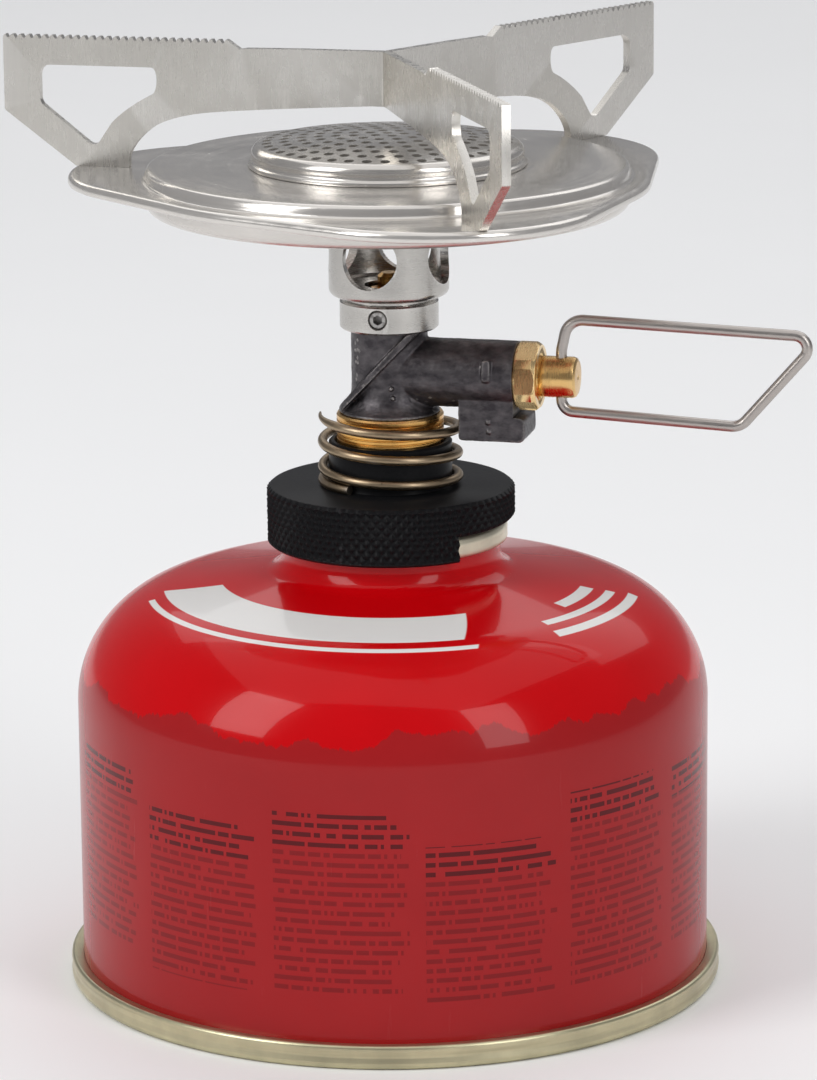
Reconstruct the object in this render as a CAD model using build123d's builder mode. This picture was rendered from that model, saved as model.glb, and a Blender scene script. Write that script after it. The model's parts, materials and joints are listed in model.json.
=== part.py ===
"""Upright canister stove, screwed onto a short gas canister.

Millimetres. Origin at the centre of the canister's base, on the surface it stands on.
+Z is up. +X runs along the valve spindle and the wire handle. The three arms of the
pot support point at 180, +60 and -60 degrees round Z.
"""

import os
from math import cos, radians, sin, tan

from build123d import *

os.makedirs("parts", exist_ok=True)

# ---------------------------------------------------------------- driving dimensions
# Canister
can_radius = 43.3
can_sheet = 0.5
can_side_top = 39.1
shoulder_radius = 15.8
cone_slope = 9.8
seam_radius = 45.0
seam_height = 3.4
seam_floor = 1.0
base_dome_height = 7.0
mouth_radius = 14.9
mouth_top = 62.9
mouth_fillet = 3.0
press_gap = 0.02

# Valve cup and screw stub
curl_radius = 15.9
curl_inner_radius = 13.4
curl_bottom = 61.2
curl_top = 64.2
cup_floor = 58.0
boss_radius = 5.55
boss_top = 67.5
boss_flange_radius = 7.0
boss_flange_bottom = 56.0
boss_mouth_radius = 2.3
stem_radius = 1.5
stem_travel = 2.0
stem_chamber_radius = 3.2
stem_gasket_bottom = 57.7
housing_radius = 6.0
housing_bottom = 46.0

# Inlet sleeve and locking collar
sleeve_radius = 7.3
sleeve_bottom = 61.3
sleeve_top = 78.8
thread_clearance = 0.05
socket_roof = 68.6
collar_radius = 17.0
collar_bottom = 60.9
collar_top = 68.8
skirt_inner_radius = 16.2
collar_step = 64.4
hub_radius = 8.4
hub_top = 75.0
hub_clearance = 0.06
notch_start = -43.0
notch_sweep = 110.0
spring_wire = 1.3
spring_mean_radius = 9.25
spring_top = 78.3
spring_coils = 3

# Valve casting, spindle and handle
spindle_height = 84.5
neck_radius = 5.2
neck_top = 90.5
foot_radius = 6.8
foot_flat_top = 79.4
foot_cone_top = 82.6
spigot_radius = 4.6
spigot_top = 94.3
barrel_radius = 4.65
barrel_end = 17.9
block_start = 10.3
block_end = 19.9
block_width = 7.2
block_bottom = 75.9
spindle_radius = 2.8
spindle_clearance = 0.06
spindle_end = 26.1
seat_x = 3.4
seat_radius = 0.9
nose_radius = 3.86
nose_start = 14.5
nut_across_flats = 8.66
nut_end = 21.0
o_ring_x = 9.8
handle_x = 23.83
handle_wire = 1.5
cross_hole_radius = 0.8

# Burner
tube_radius = 8.15
tube_bore = 7.1
tube_bottom = 95.0
ring_radius = 6.7
ring_top = 94.4
air_hole_radius = 3.9
air_hole_height = 100.8
first_air_hole = -97.0
screw_height = 92.6
screw_radius = 1.25
pan_radius = 32.7
pan_floor = 107.0
burner_sheet = 0.8
plate_bottom = 110.2
plate_sheet = 1.0
plate_radius = 35.5
lobe_distance = 22.1
lobe_radius = 21.9
plateau_radius = 32.0
shoulder_foot_radius = 33.4
plateau_rise = 1.6
cap_seat_radius = 17.3
cap_radius = 18.4
cap_flange_radius = 18.8
cap_rim_top = 115.7
cap_crown = 117.0
perforation_radius = 0.67
perforation_pitch = 2.32
perforation_rings = 7

# Pot support
total_height = 129.0
arm_reach = 53.6
arm_sheet = 1.2
tip_depth = 10.3
foot_depth = 17.8
foot_outer = 43.6
foot_inner = 36.1
serration_end = 22.2
centre_step = 1.0
centre_bottom = 8.3
tooth_depth = 0.5
tooth_count = 28
arm_angles = (180, -60, 60)


# ---------------------------------------------------------------- shared construction
def ring_solid(outer, inner, bottom, top):
    """A plain ring or, with inner 0, a disc, between two heights."""
    with BuildPart() as ring:
        with BuildSketch(Plane.XY.offset(bottom)):
            Circle(outer)
            if inner > 0:
                Circle(inner, mode=Mode.SUBTRACT)
        extrude(amount=top - bottom)
    return ring.part


def arc_end(centre, radius, degrees):
    """The point of a circle at an angle, in the drawing plane."""
    x = centre[0] + radius * cos(radians(degrees))
    y = centre[1] + radius * sin(radians(degrees))
    return (x, y)


# ---------------------------------------------------------------- canister
shoulder_centre = (can_radius - shoulder_radius, can_side_top)
cone_angle = 90 - cone_slope
shoulder_end = arc_end(shoulder_centre, shoulder_radius, cone_angle)
inner_shoulder = shoulder_radius - can_sheet
inner_shoulder_end = arc_end(shoulder_centre, inner_shoulder, cone_angle)
cone_top = shoulder_end[1] + (shoulder_end[0] - mouth_radius) * tan(radians(cone_slope))
mouth_inner = mouth_radius - can_sheet
cone_tangent = tan(radians(cone_slope))
fillet_height = cone_top - mouth_fillet * cone_tangent + mouth_fillet / cos(radians(cone_slope))
fillet_centre = (mouth_radius + mouth_fillet, fillet_height)
inner_fillet = mouth_fillet + can_sheet
fillet_end = arc_end(fillet_centre, mouth_fillet, 180 + cone_angle)
inner_fillet_end = arc_end(fillet_centre, inner_fillet, 180 + cone_angle)
shell_hem = seam_floor + press_gap

with BuildPart() as can_shell:
    with BuildSketch(Plane.XZ):
        with BuildLine():
            Line((can_radius, shell_hem), (can_radius, can_side_top))
            CenterArc(shoulder_centre, shoulder_radius, 0, cone_angle)
            Line(shoulder_end, fillet_end)
            CenterArc(fillet_centre, mouth_fillet, 180, cone_angle)
            Polyline(
                (mouth_radius, fillet_height),
                (mouth_radius, mouth_top),
                (mouth_inner, mouth_top),
                (mouth_inner, fillet_height),
            )
            CenterArc(fillet_centre, inner_fillet, 180, cone_angle)
            Line(inner_fillet_end, inner_shoulder_end)
            CenterArc(shoulder_centre, inner_shoulder, 0, cone_angle)
            Polyline(
                (can_radius - can_sheet, can_side_top),
                (can_radius - can_sheet, shell_hem),
                (can_radius, shell_hem),
            )
        make_face()
    revolve(axis=Axis.Z)
can_shell.part.label = "can_shell"
export_step(can_shell.part, "parts/can_shell.step")

channel_outer = can_radius + press_gap
channel_inner = can_radius - can_sheet - press_gap
inner_wall_radius = channel_inner - can_sheet
base_edge_height = 1.2

with BuildPart() as can_base:
    with BuildSketch(Plane.XZ):
        with BuildLine():
            TangentArc(
                (0, base_dome_height),
                (inner_wall_radius, base_edge_height),
                tangent=(1, 0),
            )
            Polyline(
                (inner_wall_radius, base_edge_height),
                (inner_wall_radius, 0.4),
                (inner_wall_radius + 0.4, 0),
                (seam_radius - 0.6, 0),
                (seam_radius, 0.6),
                (seam_radius, seam_height - 0.5),
                (seam_radius - 0.5, seam_height),
                (channel_outer, seam_height),
                (channel_outer, seam_floor),
                (channel_inner, seam_floor),
                (channel_inner, base_edge_height + can_sheet),
            )
            TangentArc(
                (0, base_dome_height + can_sheet),
                (channel_inner, base_edge_height + can_sheet),
                tangent=(1, 0),
            )
            Line((0, base_dome_height + can_sheet), (0, base_dome_height))
        make_face()
    revolve(axis=Axis.Z)
can_base.part.label = "can_base"
export_step(can_base.part, "parts/can_base.step")

curl_width = curl_radius - curl_inner_radius
curl_centre = (curl_radius - curl_width / 2, curl_top - curl_width / 2)
curl_throat = curl_width / 2 - can_sheet

with BuildPart() as valve_cup:
    with BuildSketch(Plane.XZ):
        with BuildLine():
            Line((curl_radius, curl_bottom), (curl_radius, curl_centre[1]))
            CenterArc(curl_centre, curl_width / 2, 0, 180)
            Polyline(
                (curl_inner_radius, curl_centre[1]),
                (curl_inner_radius, cup_floor),
                (boss_radius + press_gap, cup_floor),
                (boss_radius + press_gap, cup_floor - can_sheet),
                (curl_inner_radius + can_sheet, cup_floor - can_sheet),
                (curl_inner_radius + can_sheet, curl_centre[1]),
            )
            CenterArc(curl_centre, curl_throat, 0, 180)
            Polyline(
                (curl_radius - can_sheet, curl_centre[1]),
                (curl_radius - can_sheet, curl_bottom),
                (curl_radius, curl_bottom),
            )
        make_face()
    revolve(axis=Axis.Z)
valve_cup.part.label = "valve_cup"
export_step(valve_cup.part, "parts/valve_cup.step")

gasket_inner = mouth_radius + press_gap
gasket_outer = curl_radius - can_sheet - press_gap
with BuildPart() as cup_gasket:
    add(ring_solid(gasket_outer, gasket_inner, curl_bottom + 0.2, mouth_top))
cup_gasket.part.label = "cup_gasket"
export_step(cup_gasket.part, "parts/cup_gasket.step")

stem_bore = stem_radius + 0.08
chamber_top = 58.5
boss_throat = 60.5
with BuildPart() as threaded_boss:
    with BuildSketch(Plane.XY.offset(boss_flange_bottom)):
        Circle(boss_flange_radius)
    extrude(amount=cup_floor - can_sheet - boss_flange_bottom)
    with BuildSketch(Plane.XY.offset(boss_flange_bottom)):
        Circle(boss_radius)
    extrude(amount=boss_top - boss_flange_bottom)
    chamfer(threaded_boss.edges().filter_by(GeomType.CIRCLE).sort_by(Axis.Z)[-1], 0.4)
    with BuildSketch(Plane.XY.offset(boss_flange_bottom)):
        Circle(stem_chamber_radius)
    extrude(amount=chamber_top - boss_flange_bottom, mode=Mode.SUBTRACT)
    with BuildSketch(Plane.XY.offset(chamber_top)):
        Circle(stem_bore)
    extrude(amount=boss_throat - chamber_top, mode=Mode.SUBTRACT)
    with BuildSketch(Plane.XY.offset(boss_throat)):
        Circle(boss_mouth_radius)
    extrude(amount=boss_top - boss_throat, mode=Mode.SUBTRACT)
threaded_boss.part.label = "threaded_boss"
export_step(threaded_boss.part, "parts/threaded_boss.step")

with BuildPart() as stem_gasket:
    add(ring_solid(stem_chamber_radius - press_gap, stem_bore, stem_gasket_bottom, chamber_top))
stem_gasket.part.label = "stem_gasket"
export_step(stem_gasket.part, "parts/stem_gasket.step")

stem_shoulder_top = stem_gasket_bottom - stem_travel - 0.05
stem_shoulder_bottom = stem_shoulder_top - 1.0
stem_top = 61.3
stem_shoulder_radius = 2.6
stem_tail_radius = 1.4
stem_tail_length = 1.5
stem_bottom = stem_shoulder_bottom - stem_tail_length
with BuildPart() as valve_stem:
    add(ring_solid(stem_radius, 0, stem_shoulder_bottom, stem_top))
    add(ring_solid(stem_shoulder_radius, 0, stem_shoulder_bottom, stem_shoulder_top))
    add(ring_solid(stem_tail_radius, 0, stem_bottom, stem_shoulder_bottom))
valve_stem.part.label = "valve_stem"
export_step(valve_stem.part, "parts/valve_stem.step")

housing_floor = housing_bottom + 1.5
housing_inlet_radius = 0.8
with BuildPart() as can_valve_housing:
    with BuildSketch(Plane.XY.offset(housing_bottom)):
        Circle(housing_radius)
    extrude(amount=boss_flange_bottom - housing_bottom)
    with BuildSketch(Plane.XY.offset(housing_floor)):
        Circle(stem_chamber_radius)
    extrude(amount=boss_flange_bottom - housing_floor, mode=Mode.SUBTRACT)
    with BuildSketch(Plane.XY.offset(housing_bottom)):
        Circle(housing_inlet_radius)
    extrude(amount=housing_floor - housing_bottom, mode=Mode.SUBTRACT)
can_valve_housing.part.label = "can_valve_housing"
export_step(can_valve_housing.part, "parts/can_valve_housing.step")

stem_spring_wire = 0.5
stem_spring_radius = 2.3
stem_spring_coils = 5
stem_spring_start = housing_floor + stem_spring_wire / 2 + press_gap
stem_spring_height = stem_shoulder_bottom - housing_floor - stem_spring_wire - 2 * press_gap
with BuildPart() as stem_spring:
    with BuildLine():
        stem_coil = Helix(
            pitch=stem_spring_height / stem_spring_coils,
            height=stem_spring_height,
            radius=stem_spring_radius,
            center=(0, 0, stem_spring_start),
        )
    with BuildSketch(Plane(origin=stem_coil @ 0, z_dir=stem_coil % 0)):
        Circle(stem_spring_wire / 2)
    sweep(path=stem_coil)
stem_spring.part.label = "stem_spring"
export_step(stem_spring.part, "parts/stem_spring.step")

# ---------------------------------------------------------------- inlet
socket_radius = boss_radius + thread_clearance
pin_hole_radius = 1.3
filter_floor = 73.5
spigot_floor = 76.0
lower_spigot_radius = 4.4
clip_bottom = 63.5
clip_height = 0.6
clip_groove_radius = 6.9

with BuildPart() as neck_sleeve:
    with BuildSketch(Plane.XY.offset(sleeve_bottom)):
        Circle(sleeve_radius)
    extrude(amount=sleeve_top - sleeve_bottom)
    for bore_radius, bore_bottom, bore_top in (
        (socket_radius, sleeve_bottom, socket_roof),
        (pin_hole_radius, socket_roof, filter_floor),
        (stem_chamber_radius, filter_floor, spigot_floor),
        (lower_spigot_radius, spigot_floor, sleeve_top),
    ):
        with BuildSketch(Plane.XY.offset(bore_bottom)):
            Circle(bore_radius)
        extrude(amount=bore_top - bore_bottom, mode=Mode.SUBTRACT)
    with BuildSketch(Plane.XY.offset(clip_bottom)):
        Circle(sleeve_radius + 1)
        Circle(clip_groove_radius, mode=Mode.SUBTRACT)
    extrude(amount=clip_height, mode=Mode.SUBTRACT)
neck_sleeve.part.label = "neck_sleeve"
export_step(neck_sleeve.part, "parts/neck_sleeve.step")

seal_section = 0.5
seal_mean_radius = 3.6
with BuildPart() as inlet_seal:
    with BuildSketch(Plane.XZ):
        with Locations((seal_mean_radius, (boss_top + socket_roof) / 2)):
            Circle(seal_section)
    revolve(axis=Axis.Z)
inlet_seal.part.label = "inlet_seal"
export_step(inlet_seal.part, "parts/inlet_seal.step")

pin_bottom = 61.4
with BuildPart() as depressor_pin:
    add(ring_solid(1.1, 0, pin_bottom, socket_roof))
    add(ring_solid(pin_hole_radius - press_gap, 0, socket_roof, filter_floor))
    with BuildSketch(Plane.XY.offset(socket_roof)):
        with Locations((pin_hole_radius, 0)):
            Rectangle(1.0, 2.0)
    extrude(amount=filter_floor - socket_roof, mode=Mode.SUBTRACT)
depressor_pin.part.label = "depressor_pin"
export_step(depressor_pin.part, "parts/depressor_pin.step")

with BuildPart() as inlet_filter:
    add(ring_solid(stem_chamber_radius - press_gap, 0, filter_floor + 0.5, spigot_floor))
inlet_filter.part.label = "inlet_filter"
export_step(inlet_filter.part, "parts/inlet_filter.step")

with BuildPart() as lock_collar:
    with BuildSketch(Plane.XY.offset(collar_bottom)):
        Circle(collar_radius)
    extrude(amount=collar_top - collar_bottom)
    chamfer(lock_collar.edges().filter_by(GeomType.CIRCLE), 0.4)
    with BuildSketch(Plane.XY.offset(collar_top)):
        Circle(hub_radius)
    extrude(amount=hub_top - collar_top)
    with BuildSketch(Plane.XY.offset(collar_bottom)):
        Circle(skirt_inner_radius)
    extrude(amount=collar_step - collar_bottom, mode=Mode.SUBTRACT)
    with BuildSketch(Plane.XY.offset(collar_bottom)):
        Circle(sleeve_radius + hub_clearance)
    extrude(amount=hub_top - collar_bottom, mode=Mode.SUBTRACT)
    with BuildSketch(Plane.XZ.rotated((0, 0, notch_start))):
        with BuildLine():
            Polyline(
                (skirt_inner_radius - 1, collar_bottom - 1),
                (collar_radius + 1, collar_bottom - 1),
                (collar_radius + 1, collar_step),
                (skirt_inner_radius - 1, collar_step),
                close=True,
            )
        make_face()
    revolve(axis=Axis.Z, revolution_arc=notch_sweep, mode=Mode.SUBTRACT)
lock_collar.part.label = "lock_collar"
export_step(lock_collar.part, "parts/lock_collar.step")

clip_gap_width = 7.0
clip_outer_radius = 8.6
with BuildPart() as collar_clip:
    add(
        ring_solid(
            clip_outer_radius,
            clip_groove_radius + press_gap,
            clip_bottom + press_gap,
            clip_bottom + clip_height - press_gap,
        )
    )
    with BuildSketch(Plane.XY.offset(clip_bottom)):
        with Locations((8.0, 0)):
            Rectangle(5.0, clip_gap_width)
    extrude(amount=clip_height, mode=Mode.SUBTRACT)
collar_clip.part.label = "collar_clip"
export_step(collar_clip.part, "parts/collar_clip.step")

spring_start = collar_top + spring_wire / 2 + press_gap
spring_height = spring_top - spring_wire / 2 - spring_start
with BuildPart() as collar_spring:
    with BuildLine():
        coil = Helix(
            pitch=spring_height / spring_coils,
            height=spring_height,
            radius=spring_mean_radius,
            center=(0, 0, spring_start),
            lefthand=True,
        )
    with BuildSketch(Plane(origin=coil @ 0, z_dir=coil % 0)):
        Circle(spring_wire / 2)
    sweep(path=coil)
collar_spring.part.label = "collar_spring"
export_step(collar_spring.part, "parts/collar_spring.step")

# ---------------------------------------------------------------- valve
spindle_bore = spindle_radius + spindle_clearance
lower_spigot_bottom = spigot_floor + 0.1
drilling_radius = 0.9
jet_socket_radius = 1.9
jet_socket_floor = 91.0
outlet_drilling = 0.7

with BuildPart() as valve_body:
    with BuildSketch(Plane.XZ):
        with BuildLine():
            Polyline(
                (0, lower_spigot_bottom),
                (lower_spigot_radius - press_gap, lower_spigot_bottom),
                (lower_spigot_radius - press_gap, sleeve_top),
                (foot_radius, sleeve_top),
                (foot_radius, foot_flat_top),
            )
            RadiusArc((foot_radius, foot_flat_top), (neck_radius, foot_cone_top), 4)
            Polyline(
                (neck_radius, foot_cone_top),
                (neck_radius, neck_top),
                (spigot_radius, neck_top),
                (spigot_radius, spigot_top),
                (0, spigot_top),
                (0, lower_spigot_bottom),
            )
        make_face()
    revolve(axis=Axis.Z)
    with BuildSketch(Plane.YZ):
        with Locations((0, spindle_height)):
            Circle(barrel_radius)
    extrude(amount=barrel_end)
    with BuildSketch(Plane.XZ.offset(-block_width / 2)):
        with BuildLine():
            Polyline(
                (block_start, spindle_height - 3),
                (block_start, block_bottom),
                (block_end, block_bottom),
                (block_end, spindle_height - 5.3),
                (barrel_end, spindle_height - 5.3),
                (barrel_end, spindle_height - 3),
                close=True,
            )
        make_face()
    extrude(amount=block_width)
    with BuildSketch(Plane.XZ.offset(neck_radius - 2)):
        with BuildLine():
            Polyline(
                (4.0, neck_top),
                (5.2, neck_top),
                (5.2, neck_top - 1.2),
                (-5.2, foot_flat_top - 0.2),
                (-6.2, foot_flat_top - 0.2),
                close=True,
            )
        make_face()
    extrude(amount=2.4)
    with BuildSketch(Plane.XZ.offset(barrel_radius - 0.6)):
        with Locations((14.4, spindle_height + 1.2)):
            Rectangle(1.3, 3.0)
    extrude(amount=0.8)
    with BuildSketch(Plane.XY.offset(lower_spigot_bottom)):
        Circle(drilling_radius)
    extrude(amount=spindle_height + drilling_radius - lower_spigot_bottom, mode=Mode.SUBTRACT)
    for bore_radius, bore_start, bore_end in (
        (seat_radius, 0, seat_x),
        (spindle_bore, seat_x, barrel_end),
        (nose_radius + press_gap, nose_start, barrel_end),
    ):
        with BuildSketch(Plane.YZ.offset(bore_start)):
            with Locations((0, spindle_height)):
                Circle(bore_radius)
        extrude(amount=bore_end - bore_start, mode=Mode.SUBTRACT)
    with BuildSketch(Plane.XY.offset(jet_socket_floor)):
        Circle(jet_socket_radius)
    extrude(amount=spigot_top - jet_socket_floor, mode=Mode.SUBTRACT)
    with BuildSketch(Plane(origin=(0, 0, jet_socket_floor + 0.3), z_dir=(1, 0, -0.9))):
        Circle(outlet_drilling)
    extrude(amount=7, mode=Mode.SUBTRACT)
valve_body.part.label = "valve_body"
export_step(valve_body.part, "parts/valve_body.step")

with BuildPart() as gland_nut:
    with BuildSketch(Plane.YZ.offset(barrel_end + press_gap)):
        with Locations((0, spindle_height)):
            RegularPolygon(nut_across_flats / 2, 6, major_radius=False, rotation=90)
    extrude(amount=nut_end - barrel_end - press_gap)
    with BuildSketch(Plane.YZ.offset(barrel_end)):
        with Locations((0, spindle_height)):
            Circle(nut_across_flats / 2 + 0.35)
    extrude(amount=nut_end - barrel_end, mode=Mode.INTERSECT)
    with BuildSketch(Plane.YZ.offset(nose_start + 0.1)):
        with Locations((0, spindle_height)):
            Circle(nose_radius)
    extrude(amount=barrel_end - nose_start + 0.5)
    with BuildSketch(Plane.YZ.offset(nose_start)):
        with Locations((0, spindle_height)):
            Circle(spindle_bore)
    extrude(amount=nut_end - nose_start + 1, mode=Mode.SUBTRACT)
gland_nut.part.label = "gland_nut"
export_step(gland_nut.part, "parts/gland_nut.step")

groove_radius = 1.9
groove_width = 1.6
needle_tip_x = 2.8
needle_tip_radius = 0.5
needle_end_x = 4.7
needle_end_radius = 1.6
end_chamfer = 0.6
spindle_axis = Axis((0, 0, spindle_height), (1, 0, 0))
with BuildPart() as spindle:
    with BuildSketch(Plane.XZ):
        with BuildLine():
            Polyline(
                (needle_tip_x, spindle_height),
                (needle_tip_x, spindle_height + needle_tip_radius),
                (needle_end_x, spindle_height + needle_end_radius),
                (needle_end_x, spindle_height + spindle_radius),
                (o_ring_x - groove_width / 2, spindle_height + spindle_radius),
                (o_ring_x - groove_width / 2, spindle_height + groove_radius),
                (o_ring_x + groove_width / 2, spindle_height + groove_radius),
                (o_ring_x + groove_width / 2, spindle_height + spindle_radius),
                (spindle_end - end_chamfer, spindle_height + spindle_radius),
                (spindle_end, spindle_height + spindle_radius - end_chamfer),
                (spindle_end, spindle_height),
                close=True,
            )
        make_face()
    revolve(axis=spindle_axis)
    with BuildSketch(Plane.XY.offset(spindle_height - spindle_radius - 1)):
        with Locations((handle_x, 0)):
            Circle(cross_hole_radius)
    extrude(amount=2 * spindle_radius + 2, mode=Mode.SUBTRACT)
spindle.part.label = "spindle"
export_step(spindle.part, "parts/spindle.step")

with BuildPart() as spindle_o_ring:
    with BuildSketch(Plane.XZ):
        with Locations((o_ring_x, spindle_height + (groove_radius + spindle_radius) / 2)):
            Circle((spindle_radius - groove_radius) / 2 - press_gap)
    revolve(axis=spindle_axis)
spindle_o_ring.part.label = "spindle_o_ring"
export_step(spindle_o_ring.part, "parts/spindle_o_ring.step")

with BuildPart() as wire_handle:
    with BuildLine(Plane.XZ):
        handle_path = FilletPolyline(
            (handle_x, spindle_height + 0.8),
            (handle_x, 88.2),
            (24.72, 92.47),
            (59.2, 91.3),
            (48.25, 78.65),
            (handle_x, 79.83),
            (handle_x, spindle_height - 0.8),
            radius=(4.0, 2.6, 1.75, 2.5, 1.7),
        )
    with BuildSketch(Plane.XY.offset(spindle_height + 0.8)):
        with Locations((handle_x, 0)):
            Circle(handle_wire / 2)
    sweep(path=handle_path)
wire_handle.part.label = "wire_handle"
export_step(wire_handle.part, "parts/wire_handle.step")

# ---------------------------------------------------------------- burner
jet_hex_top = 95.9
nozzle_radius = 1.55
nozzle_top = 98.0
jet_hex_radius = 2.6
jet_orifice_radius = 0.2
with BuildPart() as jet:
    add(ring_solid(jet_socket_radius - press_gap, 0, jet_socket_floor + 0.8, spigot_top))
    with BuildSketch(Plane.XY.offset(spigot_top)):
        RegularPolygon(jet_hex_radius, 6)
    extrude(amount=jet_hex_top - spigot_top)
    add(ring_solid(nozzle_radius, 0, jet_hex_top, nozzle_top))
    chamfer(jet.edges().filter_by(GeomType.CIRCLE).sort_by(Axis.Z)[-1], 0.5)
    with BuildSketch(Plane.XY.offset(jet_socket_floor)):
        Circle(drilling_radius)
    extrude(amount=nozzle_top - jet_socket_floor - 0.6, mode=Mode.SUBTRACT)
    with BuildSketch(Plane.XY.offset(nozzle_top - 1)):
        Circle(jet_orifice_radius)
    extrude(amount=1.5, mode=Mode.SUBTRACT)
jet.part.label = "jet"
export_step(jet.part, "parts/jet.step")

tube_edge = 1.0
tube_floor_top = 96.3
tube_flange_radius = 9.4
tube_flange_top = pan_floor + burner_sheet + 0.5
with BuildPart() as mixing_tube:
    with BuildSketch(Plane.XZ):
        with BuildLine():
            Polyline(
                (spigot_radius + press_gap, neck_top + press_gap),
                (ring_radius - 0.3, neck_top + press_gap),
                (ring_radius, neck_top + 0.3),
                (ring_radius, ring_top - 0.3),
                (ring_radius - 0.3, ring_top),
                (ring_radius - 0.7, ring_top),
                (ring_radius - 0.7, tube_bottom),
                (tube_radius - tube_edge, tube_bottom),
            )
            CenterArc((tube_radius - tube_edge, tube_bottom + tube_edge), tube_edge, 270, 90)
            Polyline(
                (tube_radius, tube_bottom + tube_edge),
                (tube_radius, pan_floor + burner_sheet),
                (tube_flange_radius, pan_floor + burner_sheet),
                (tube_flange_radius, tube_flange_top),
                (tube_bore, tube_flange_top),
                (tube_bore, tube_floor_top),
                (3.3, tube_floor_top),
                (3.3, spigot_top + press_gap),
                (spigot_radius + press_gap, spigot_top + press_gap),
                (spigot_radius + press_gap, neck_top + press_gap),
            )
        make_face()
    revolve(axis=Axis.Z)
    for quarter in range(4):
        hole_angle = first_air_hole + 90 * quarter
        hole_direction = (cos(radians(hole_angle)), sin(radians(hole_angle)), 0)
        with BuildSketch(Plane(origin=(0, 0, air_hole_height), z_dir=hole_direction)):
            Circle(air_hole_radius)
        extrude(amount=tube_radius + 1, mode=Mode.SUBTRACT)
    with BuildSketch(Plane.XZ.offset(spigot_radius - 0.5)):
        with Locations((0, screw_height)):
            Circle(screw_radius + press_gap)
    extrude(amount=4, mode=Mode.SUBTRACT)
mixing_tube.part.label = "mixing_tube"
export_step(mixing_tube.part, "parts/mixing_tube.step")

screw_face = ring_radius - 0.1
hex_socket_radius = 0.75
hex_socket_depth = 1.2
with BuildPart() as set_screw:
    with BuildSketch(Plane.XZ.offset(spigot_radius + press_gap)):
        with Locations((0, screw_height)):
            Circle(screw_radius)
    extrude(amount=screw_face - spigot_radius - press_gap)
    with BuildSketch(Plane.XZ.offset(screw_face - hex_socket_depth)):
        with Locations((0, screw_height)):
            RegularPolygon(hex_socket_radius, 6)
    extrude(amount=1.5, mode=Mode.SUBTRACT)
set_screw.part.label = "set_screw"
export_step(set_screw.part, "parts/set_screw.step")

pan_corner = 1.4
with BuildPart() as burner_pan:
    with BuildSketch(Plane.XZ):
        with BuildLine():
            Polyline(
                (tube_radius + press_gap, pan_floor + burner_sheet),
                (tube_radius + press_gap, pan_floor),
                (pan_radius - pan_corner, pan_floor),
            )
            CenterArc((pan_radius - pan_corner, pan_floor + pan_corner), pan_corner, 270, 90)
            Polyline(
                (pan_radius, pan_floor + pan_corner),
                (pan_radius, plate_bottom),
                (pan_radius - burner_sheet, plate_bottom),
                (pan_radius - burner_sheet, pan_floor + pan_corner),
            )
            CenterArc(
                (pan_radius - pan_corner, pan_floor + pan_corner),
                pan_corner - burner_sheet,
                270,
                90,
            )
            Line(
                (pan_radius - pan_corner, pan_floor + burner_sheet),
                (tube_radius + press_gap, pan_floor + burner_sheet),
            )
        make_face()
    revolve(axis=Axis.Z)
burner_pan.part.label = "burner_pan"
export_step(burner_pan.part, "parts/burner_pan.step")

baffle_bottom = 109.4
baffle_radius = 13.0
baffle_leg_distance = 11.5
baffle_leg_radius = 1.0
with BuildPart() as mixing_baffle:
    with BuildSketch(Plane.XY.offset(baffle_bottom)):
        Circle(baffle_radius)
    extrude(amount=0.6)
    with BuildSketch(Plane.XY.offset(pan_floor + burner_sheet)):
        with PolarLocations(baffle_leg_distance, 3):
            Circle(baffle_leg_radius)
    extrude(amount=baffle_bottom - pan_floor - burner_sheet)
mixing_baffle.part.label = "mixing_baffle"
export_step(mixing_baffle.part, "parts/mixing_baffle.step")

plate_top = plate_bottom + plate_sheet
seat_height = plate_top + plateau_rise
shoulder_middle = ((plateau_radius + shoulder_foot_radius) / 2, plate_top + plateau_rise / 2)
edge_drop = 0.4
with BuildPart() as burner_plate:
    with BuildSketch(Plane.XY.offset(plate_bottom - edge_drop)):
        Circle(plate_radius)
        with PolarLocations(lobe_distance, 3, start_angle=60):
            Circle(lobe_radius)
        make_hull()
    extrude(amount=plate_sheet + edge_drop)
    fillet(burner_plate.edges().group_by(Axis.Z)[-1], 0.7)
    with BuildSketch(Plane.XY.offset(plate_bottom - edge_drop)):
        Circle(plate_radius - plate_sheet)
        with PolarLocations(lobe_distance, 3, start_angle=60):
            Circle(lobe_radius - plate_sheet)
        make_hull()
    extrude(amount=edge_drop, mode=Mode.SUBTRACT)
    with BuildSketch(Plane.XZ):
        with BuildLine():
            Polyline(
                (shoulder_foot_radius, plate_top),
                (shoulder_foot_radius, plate_bottom),
                (cap_seat_radius, plate_bottom),
                (cap_seat_radius, seat_height),
                (plateau_radius, seat_height),
            )
            TangentArc((plateau_radius, seat_height), shoulder_middle, tangent=(1, 0))
            TangentArc((shoulder_foot_radius, plate_top), shoulder_middle, tangent=(-1, 0))
        make_face()
    revolve(axis=Axis.Z)
    with BuildSketch(Plane.XY.offset(plate_bottom)):
        Circle(cap_seat_radius)
    extrude(amount=10, mode=Mode.SUBTRACT)
    with BuildSketch(Plane.XY.offset(plate_bottom)):
        Circle(pan_radius - burner_sheet)
    extrude(amount=plateau_rise - 0.3, mode=Mode.SUBTRACT)
burner_plate.part.label = "burner_plate"
export_step(burner_plate.part, "parts/burner_plate.step")

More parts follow.
